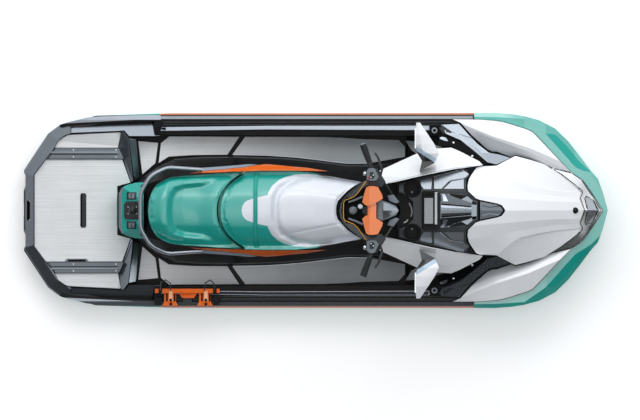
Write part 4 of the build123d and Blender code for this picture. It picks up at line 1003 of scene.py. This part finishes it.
# ---- cockpit ------------------------------------------------------------------------------
def cockpit_trim():
    """The ribbed surround in front of the seat, the amber trim line and the lanyard knob."""
    top = 452
    edge = [(150, 0), (154, 42), (174, 80), (206, 113), (249, 146), (300, 181)]
    shell = both_sides(edge) + [(334, 181), (286, 108), (238, 84), (178, 62), (172, 0), (178, -62),
                                (238, -84), (286, -108), (334, -181)]
    piece("cockpit_surround", slab(shell, 404, top, edge=2), "black")
    ribs = []
    for i in range(6):
        shift = 5 + 9 * i
        line = [(x + shift * (0.35 + 0.65 * min(1, y / 100)), y) for x, y in edge]
        if i < 2:
            ribs.append(slab(band(both_sides(line), 3.0), top, top + 3))
        else:
            ribs += [slab(band(line[2:], 3.5), top, top + 4, side) for side in BOTH]
    piece("cockpit_ribs", joined(ribs), "rib")
    amber = [(172, 0), (174, 46), (182, 62), (234, 82), (262, 108), (300, 164), (314, 180)]
    piece("cockpit_amber_line", slab(band(both_sides(amber), 5), 440, top + 10, edge=1), "yellow")
    # painted shadow: a near-black plate fills the opening, standing for the shade inside it
    pan = [(186, -56), (186, 56), (300, 92), (350, 100), (350, -100), (300, -92)]
    piece("cockpit_shadow_plate", slab(pan, 400, 436, edge=4), "shadow")
    knob = [(0, 30), (15, 29), (22, 24), (27, 14), (22, 4), (17, 0), (17, -12)]
    piece("lanyard_knob", lathe(knob, (0.232, 0.0, 0.448), steps=8), "trim", edge=0.0012)
    clip = lathe([(0, 5), (13, 4), (17, 0), (13, -3)], (0.276, 0.024, 0.452), (0.3, 0.4, 1), 16)
    piece("lanyard_clip", clip, "silver")
    route = [(0.204, 0.050, 0.448), (0.240, 0.062, 0.458), (0.290, 0.084, 0.460)]
    arms = both(lambda side: pipe([(x, side * y, z) for x, y, z in route], 0.007))
    piece("cockpit_arms", arms, "trim")


# ---- handlebar ---------------------------------------------------------------------------------
def grip_trim():
    """Grip ribs, bar ends and collars, turned about each grip's own line."""
    ribs, ends, collars = [], [], []
    for side in BOTH:
        outer = Vector((292, side * 392, 796)) * MM
        run = (Vector((337, side * 268, 800)) * MM - outer).normalized()
        for i in range(9):
            radius = 21.2 - 0.45 * i
            ring = [(radius - 3, -2.4), (radius + 0.6, -1.2), (radius + 0.6, 1.2), (radius - 3, 2.4)]
            ribs.append(lathe(ring, outer + run * (0.010 + 0.0115 * i), run, 18))
        ends.append(lathe([(0, -14), (12, -13), (18, -10), (19, -6), (19, -4)], outer, run, 18))
        collars.append(lathe([(15, -5), (22, -4), (22, 4), (15, 5)], outer + run * 0.117, run, 18))
    piece("grip_ribs", joined(ribs), "grip", body=BARS)
    piece("bar_ends", joined(ends), "trim", "silver_strip", BARS)
    piece("grip_collars", joined(collars), "coated", "grip_rubber", BARS)


def bar_trim():
    """The stop button, clamp caps, switch faces, lever links and the covers' folded faces."""
    grip_trim()
    housings, clamp_top = "switch_housings", 784
    stop = dome(322, 196, on_top(housings, 322, 196), 7, 6)
    piece("stop_button", stop, "red", body=BARS)
    ball = [(0, 13), (7, 11), (12, 6), (13, 0), (12, -6), (7, -11), (0, -13)]
    balls = both(lambda side: lathe(ball, (0.303, side * 0.223, 0.792), (1, 0, 0), 18))
    piece("bar_balls", balls, "steel", body=BARS)
    face = [(328, 192), (330, 232), (352, 232), (362, 208), (352, 190)]
    strips("switch_faces", [face], housings, "dark", 0.3, 1.4, 9, body=BARS)
    # painted highlight: two white dots on each switch housing, where its glints fall
    glint_dots = heads([(338, 200), (352, 214)], housings, 4, 3, 1.4)
    piece("switch_glint_dots", glint_dots, "white_dot", "silver_strip", BARS)
    route = [(0.392, 0.214, 0.796), (0.414, 0.176, 0.782), (0.440, 0.138, 0.762), (0.462, 0.104, 0.742)]
    links = both(lambda side: pipe([(x, side * y, z) for x, y, z in route], 0.0065))
    piece("lever_links", links, "coated", body=BARS)
    guide = [(438, 88), (474, 98), (510, 52), (490, 42), (450, 58)]
    piece("cable_guides", slabs([guide], 706, 722, edge=2), "trim", body=BARS)
    ribs = [slab([(376, -56), (376, 56), (410, 60), (410, -60)], clamp_top - 5, clamp_top, edge=1.5)]
    for y in range(-44, 45, 22):
        rib = [(378, y - 5), (378, y + 5), (408, y + 6), (408, y - 6)]
        ribs.append(slab(rib, clamp_top, clamp_top + 4, edge=1))
    piece("clamp_ribs", joined(ribs), "trim", body=BARS)
    foot = [(413, 50, 775), (440, 42, 759), (470, 28, 743), (503, 7, 729)]
    ridge = [(413, 0, 796), (440, 0, 784), (470, 0, 768), (504, 0, 738)]
    piece("cover_cone", folded(between(foot, ridge), 1.5), "cone", body=BARS, smooth=20)
    rim = [(362, 254, 811), (389, 207, 806), (371, 178, 813), (340, 177, 813), (309, 186, 811)]
    skirt = [(371, 260, 798), (428, 173, 784), (402, 142, 788), (324, 144, 804), (299, 206, 803)]
    piece("switch_skirts", folded(between(rim, skirt), 3), "dash", body=BARS, smooth=20)


# ---- dash --------------------------------------------------------------------------------------
def console_trim():
    """The console's flanks, painted darker than the lid as painted shade, its light plates and black bands,
    and the lines along its spine.
    """
    lid, spine = "console_lid", [(764, 47), (952, 33)]
    flank = [spine[0], (764, 101), (800, 100), (845, 81), (888, 66), (930, 54), (952, 44), spine[1]]
    # the flanks take the darker lid lacquer: painted shade
    strips("console_flanks", [flank], lid, "lid", 0.2, 1.0, 12, rise_from(spine, -0.40, 20))
    lid += " console_flanks"
    bands = [[(800, 101), (845, 82), (888, 67), (930, 91), (915, 93)],
             [(950, 38), (957, 60), (981, 51), (981, 34)]]
    strips("console_black_bands", bands, lid, "black", 0.3, 1.6)
    strips("console_plates", [[(763, 56), (763, 101), (788, 99), (808, 56)]], lid, "panel", 0.3, 1.6)
    strips("console_seams", [band([(770, 47), (860, 40), (948, 32)], 2.2)], lid, "shadow", 0.2, 0.9)


def dash_trim():
    """The screen, its grey a painted reflection, the cup rims, painted glints in the cups and round the
    steering well, and the light lines on the dash, with painted highlights along the panel edges and a duct
    line of painted shade to port and painted highlight to starboard.
    """
    # painted reflection: the screen face is grey where its glass would mirror the studio
    screen = [(664, -80), (664, 76), (716, 76), (716, -80)]
    strips("screen_face", [screen], "meter", "display", 0.3, 1.0, sides=(PORT,))
    bar = [(727, -84), (727, 112), (747, 112), (751, 104), (751, -84)]
    strips("meter_bar", [bar], "meter", "silver", 0.3, 2.0, sides=(PORT,))
    keys = [[(668, y), (668, y + 8), (712, y + 8), (712, y)] for y in (86, 97, -96)]
    strips("meter_keys", keys, "meter", "black", 0.3, 1.4, sides=(PORT,))
    rim = [(41, 0), (43, 5), (49, 6), (53, 3), (54, -1), (44, -2)]
    rims = both(lambda side: lathe(rim, (0.592, side * 0.133, 0.562), steps=32))
    piece("cup_rims", rims, "black")
    # painted highlight: a silver dot where a glint shows at the bottom of each cup
    piece("cup_glints", both(lambda side: dome(590, side * 112, 490, 6, 2.5)), "silver")
    console_trim()
    # painted highlights: curved silver strips where glints show round the steering well
    glint_level = 0.484
    glint_lines = [[(0.572, 0.046), (0.587, 0.020), (0.591, -0.010), (0.584, -0.036)],
             [(0.566, -0.056), (0.556, -0.068), (0.540, -0.076)]]
    glint_lines = [pipe([(x, y, glint_level) for x, y in line], r) for line, r in zip(glint_lines, (0.0045, 0.005))]
    piece("well_glints", joined(glint_lines), "silver")
    well = [(516, -96), (516, 96), (534, 92), (560, 76), (592, 44), (592, -44), (560, -76), (534, -92)]
    piece("well_floor", slab(well, 440, 470), "shadow")
    line = [(440, 168), (500, 184), (600, 208), (700, 230), (850, 259), (900, 264), (955, 272)]
    strips("cowl_piping", [band(line, 4)], "side_cowls", "silver", 0.3, 2, 14)
    # painted highlights: light lines along the edges of the dash panels
    seams = [band([(760, 134), (820, 182), (905, 196)], 2.4), band([(722, 204), (880, 247), (906, 246)], 2.4)]
    strips("dash_edge_highlights", seams, "dash dash_panels", "silver", 0.3, 1.2, 10)
    # the duct's line is painted shade to port and a painted highlight to starboard
    duct = [band([(1016, 30), (1060, 19), (1118, 27)], 3)]
    strips("duct_shade_line_port", duct, "hood_duct", "shadow", 0.3, 1.2, 10, sides=(PORT,))
    strips("duct_highlight_line_starboard", duct, "hood_duct", "silver", 0.3, 1.2, 10, sides=(STARBOARD,))


# ---- front ----------------------------------------------------------------------------------------
def arm_trim():
    """The screws, eyes, vents and light wings of the arms and panels inside the fenders."""
    arms, panels = "support_arms", "inner_panels support_arms"
    piece("arm_screws", heads([(845, 414), (958, 332)], arms, 7, 4), "white_dot")
    rim = [(9.2, -2), (10, 3), (14, 4), (18, 1), (18, -2)]
    eyes = both(lambda side: lathe(rim, Vector((730, side * 489, on_top(arms, 748, side * 489))) * MM))
    piece("eye_rims", eyes, "rail_ridge")
    patch = [(756, 510), (776, 524), (838, 480), (802, 464), (778, 474)]
    strips("panel_vents", [patch], panels, "dark")
    seams = [band([(832, 480), (900, 462), (956, 442)], 2), band([(958, 446), (1010, 402), (1075, 352)], 2)]
    strips("panel_seams", seams, panels, "shadow", 0.2, 0.7)
    inner = [(846, 482, 331), (897, 424, 359.5), (968, 367, 388.5), (1056, 290, 438)]
    outer = [(873, 473, 335.5), (940, 421, 361.5), (1002, 371, 387), (1062, 305, 428)]
    piece("panel_wings", folded(between(inner, outer)), "panel")
    light = [(746, 444), (778, 450), (800, 444), (812, 424), (798, 424)]
    strips("arm_inserts", [light], arms, "panel")


def front_trim():
    """The hood's plug, and the facets, lens and lines of the nose; its bright lines are painted highlights
    along the lips of the panels.
    """
    arm_trim()
    plug = [(0, 12), (8, 11), (15, 7), (19, 1), (19.5, -4)]
    plug = lathe(plug, (1.587, 0.0, on_top("hood", 1587, 4) * MM), steps=28)
    piece("hood_plug", plug, "gloss", body=HOOD)
    low = [(1448, 258, 379), (1505, 243, 368), (1566, 230, 354), (1626, 187, 347), (1660, 143, 345),
           (1689, 97, 346), (1716, 56, 348), (1752, 2, 341)]
    high = [(1448, 255, 380), (1505, 222, 383), (1556, 184, 381), (1600, 147, 377), (1629, 118, 375),
            (1652, 89, 368), (1702, 64, 358), (1737, 2, 353)]
    brow_aft, brow_mid = (1612, 80, 385), high[5]
    brow = [[high[4], brow_mid, brow_aft], [brow_aft, brow_mid, (1664, 2, 399), (1640, 2, 405)]]
    piece("nose_facets", folded(between(low, high) + brow), "nose", smooth=20)
    cover = [(1655, 85, 366), (1701, 61, 355), (1735, 2, 359), (1667, 2, 394)]
    piece("lens_cover", folded([cover]), "lens_tint", smooth=20)
    nose = "nose_panel nose_lens nose_facets lens_cover"
    outer = [(1448, 258), (1570, 229), (1626, 190), (1690, 96), (1748, 2)]
    inner = [(1450, 256), (1505, 222), (1606, 143), (1632, 121), (1634, 107), (1620, 76), (1646, 2)]
    strips("nose_piping", [band(outer, 4), band(inner, 4)], nose, "shadow", 0.3, 1.4, 12)
    rim = [(1662, 2), (1648, 74), (1655, 87), (1688, 77), (1702, 63), (1728, 2)]
    strips("lens_frame", [band(rim, 5)], nose, "shadow", 0.4, 2, 12)
    # painted highlights: bright lines along the lips of the nose's panels
    bright = [(1500, 219), (1604, 139), (1627, 119)], [(1658, 91), (1691, 80), (1706, 65), (1732, 6)]
    bright = [band(line, 2.5) for line in bright]
    strips("nose_highlight_lines", bright, nose, "white_dot", 0.3, 1.6, 12, slot="silver_strip")


def bumper_trim():
    """Darker teal patches of painted shade on the bow bumper, and the gasket behind its nose."""
    piece("nose_gasket", slab([(1738, 22), (1764, 6), (1764, -6), (1738, -22)], 264, 300), "black")
    # painted shade: darker teal patches where the bow bumper lies in shade
    pad = [(1412, 470), (1468, 466), (1540, 395), (1612, 306), (1686, 236), (1640, 246), (1590, 268),
           (1500, 372)]
    strips("bow_shade_patches", [pad], "bow_bumper", "shade_teal", 0.3, 1.6, 30)


# ---- starboard bracket --------------------------------------------------------------------------------
def bracket_trim():
    """Levers, pivots and the raised band of the orange bracket, which is on the starboard side only."""
    here, top = (STARBOARD,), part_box("side_bracket")[0].z / MM
    raised = [(-818, 489), (-812, 507), (-753, 507), (-747, 489)]
    piece("bracket_band", slab(raised, top + 25, top + 31, STARBOARD, 2), "orange")
    plate = [(-832, 506), (-810, 535), (-744, 535), (-726, 506)]
    piece("bracket_rim", ring_slab(plate, 5, top + 11.5, top + 17, STARBOARD), "orange", edge=0.001)
    cup = [(0, 3), (24, 3), (27, 6), (29, 2), (29, 0)]
    piece("bracket_cup", lathe(cup, Vector((-782, -548, top + 1)) * MM, steps=28), "dark")
    at = (-884, -669)
    levers = [[(x - 11, 492), (x - 13, 556), (x + 13, 556), (x + 11, 492)] for x in at]
    piece("bracket_levers", slabs(levers, top + 10, top + 32, here, 4), "lever_orange")
    edges = [(x + off - 5, x + off + 5) for x in at for off in (-24, 24)]
    cuts = [[(aft, 508), (aft, 556), (fore, 556), (fore, 508)] for aft, fore in edges]
    piece("bracket_slots", slabs(cuts, top + 10.2, top + 11.6, here), "shadow")
    pivots = joined(dome(x, y, top + rise, 9, 5) for x in at for y, rise in ((-548, 32), (-574, 10)))
    piece("bracket_pivots", pivots, "black")
    bands = [[(x - 11, 478), (x - 11, 506), (x + 11, 506), (x + 11, 478)] for x in (-948, -614)]
    piece("bracket_bands", slabs(bands, top + 26.1, top + 28, here), "black")


# ---- seat trim ----------------------------------------------------------------------------------------
def seat_piping():
    """A dark bead in the seam between the two cushions."""
    half = curve_through(seat_seam, 5)
    line = [Vector((p.x, -p.y, 0)) for p in reversed(half[1:])] + half
    cushions, reach, sink = "rear_cushion front_cushion", 16, 0.010
    spots = []
    for p in line:
        level = min(height_at(cushions, (p.x + off) * MM, p.y * MM, 0.45) for off in (-reach, reach))
        spots.append((p.x * MM, p.y * MM, level - sink))
    piece("seat_piping", pipe(spots, 0.0085, 8), "piping")


def seat_strap():
    """The strap over the front cushion, with two rows of stitches."""
    half = [(-376, 0), (-376, 130), (-374, 190), (-370, 226), (-338, 226), (-346, 190), (-350, 130),
            (-350, 0)]
    bm = both(lambda side: laid_on(half, "front_cushion", side, 0.6, 3.2, 10))
    bmesh.ops.remove_doubles(bm, verts=bm.verts, dist=1e-5)
    inner = [f for f in bm.faces if all(abs(v.co.y) < 1e-5 for v in f.verts)]
    bmesh.ops.delete(bm, geom=inner, context="FACES")
    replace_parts(piece("seat_strap_webbing", bm, "webbing"), "seat_strap")
    rows = [[(mid, 2), (mid, 130), (mid + (end - mid) * 0.4, 190), (end, 222)]
            for mid, end in ((-371, -366), (-355, -343))]
    rows = [band(row, 1.8) for row in rows]
    strips("seat_strap_stitches", rows, "seat_strap_webbing", "thread", 0.0, 0.8, 12)


for add_trim in (rear_deck_trim, risers, gunwale_trim, pedestal_trim, tail_trim, cockpit_trim, bar_trim,
                 dash_trim, front_trim, bumper_trim, bracket_trim, seat_piping, seat_strap):
    add_trim()


# ---- stage -----------------------------------------------------------------------------------
def make_floor():
    """A plain pale floor at the waterline, which reads white to the camera and keeps the shadow."""
    glow, half_size = 0.30, 12
    settings = {"Base Color": tone("F4F4F5"), "Roughness": 1.0, "Specular IOR Level": 0.0,
                "Emission Color": (1, 1, 1, 1)}
    material, tree, shader = new_material("studio_floor", settings)
    ray = add_node(tree, "LightPath").outputs
    seen = sums(tree, "MAXIMUM", ray["Is Camera Ray"], ray["Is Glossy Ray"])
    seen = sums(tree, "MAXIMUM", seen, ray["Is Transmission Ray"])
    tree.links.new(sums(tree, "MULTIPLY", seen, glow), shader.inputs["Emission Strength"])
    bm = bmesh.new()
    bmesh.ops.create_grid(bm, x_segments=1, y_segments=1, size=half_size)
    floor = from_bmesh("floor", bm)
    floor.data.materials.append(material)


def make_world():
    """A studio with a soft wall to port and a pale ceiling, dark to starboard, and white where it is seen."""
    world = bpy.data.worlds.new("studio")
    world.use_nodes = True
    tree = world.node_tree
    tree.nodes.clear()
    way = add_node(tree, "TexCoord").outputs["Generated"]
    toward_wall = {"operation": "DOT_PRODUCT", 1: (0.20, 0.93, 0.30)}
    lean = add_node(tree, "VectorMath", toward_wall, {0: way}).outputs["Value"]
    high = add_node(tree, "SeparateXYZ", feeds={"Vector": way}).outputs["Z"]
    wall, panel = ramp(tree, lean, -0.26, -0.02, 0.06, 0.66), ramp(tree, lean, 0.72, 1.0, 0.0, 1.0)
    ceiling = ramp(tree, high, 0.6, 1.0, 0.0, 0.20)
    glow = sums(tree, "ADD", sums(tree, "ADD", wall, panel), ceiling)
    glow = sums(tree, "MAXIMUM", glow, add_node(tree, "LightPath").outputs["Is Camera Ray"])
    sky = add_node(tree, "Background", {"Color": (0.95, 0.975, 1.0, 1)}, {"Strength": glow})
    add_node(tree, "OutputWorld", feeds={"Surface": sky.outputs["Background"]})
    bpy.context.scene.world = world


def area_light(name, spot, size, energy):
    """A soft box aimed at the middle of the craft."""
    data = bpy.data.lights.new(name, "AREA")
    data.shape = "RECTANGLE"
    data.size, data.size_y = size
    data.energy = energy
    lamp = linked(name, data)
    lamp.location = spot
    lamp.rotation_euler = (Vector((0, 0, 0.2)) - Vector(spot)).to_track_quat("-Z", "Y").to_euler()


def make_camera():
    """A long lens straight above, its top edge to port."""
    view_width, away, over, level = 3.9155, 40.0, (0.030, 0.003), 0.3
    data = bpy.data.cameras.new("camera")
    data.sensor_width = 36
    data.lens = data.sensor_width * away / view_width
    data.clip_end = 200
    camera = linked("camera", data)
    camera.location = (*over, away + level)
    bpy.context.scene.camera = camera


make_floor()
make_world()
area_light("key", (-0.4, 3.3, 4.3), (6.0, 2.6), 105)
area_light("fill", (0.3, -0.5, 5.2), (5.0, 1.6), 22)
make_camera()
bpy.context.scene.view_settings.view_transform = "Standard"
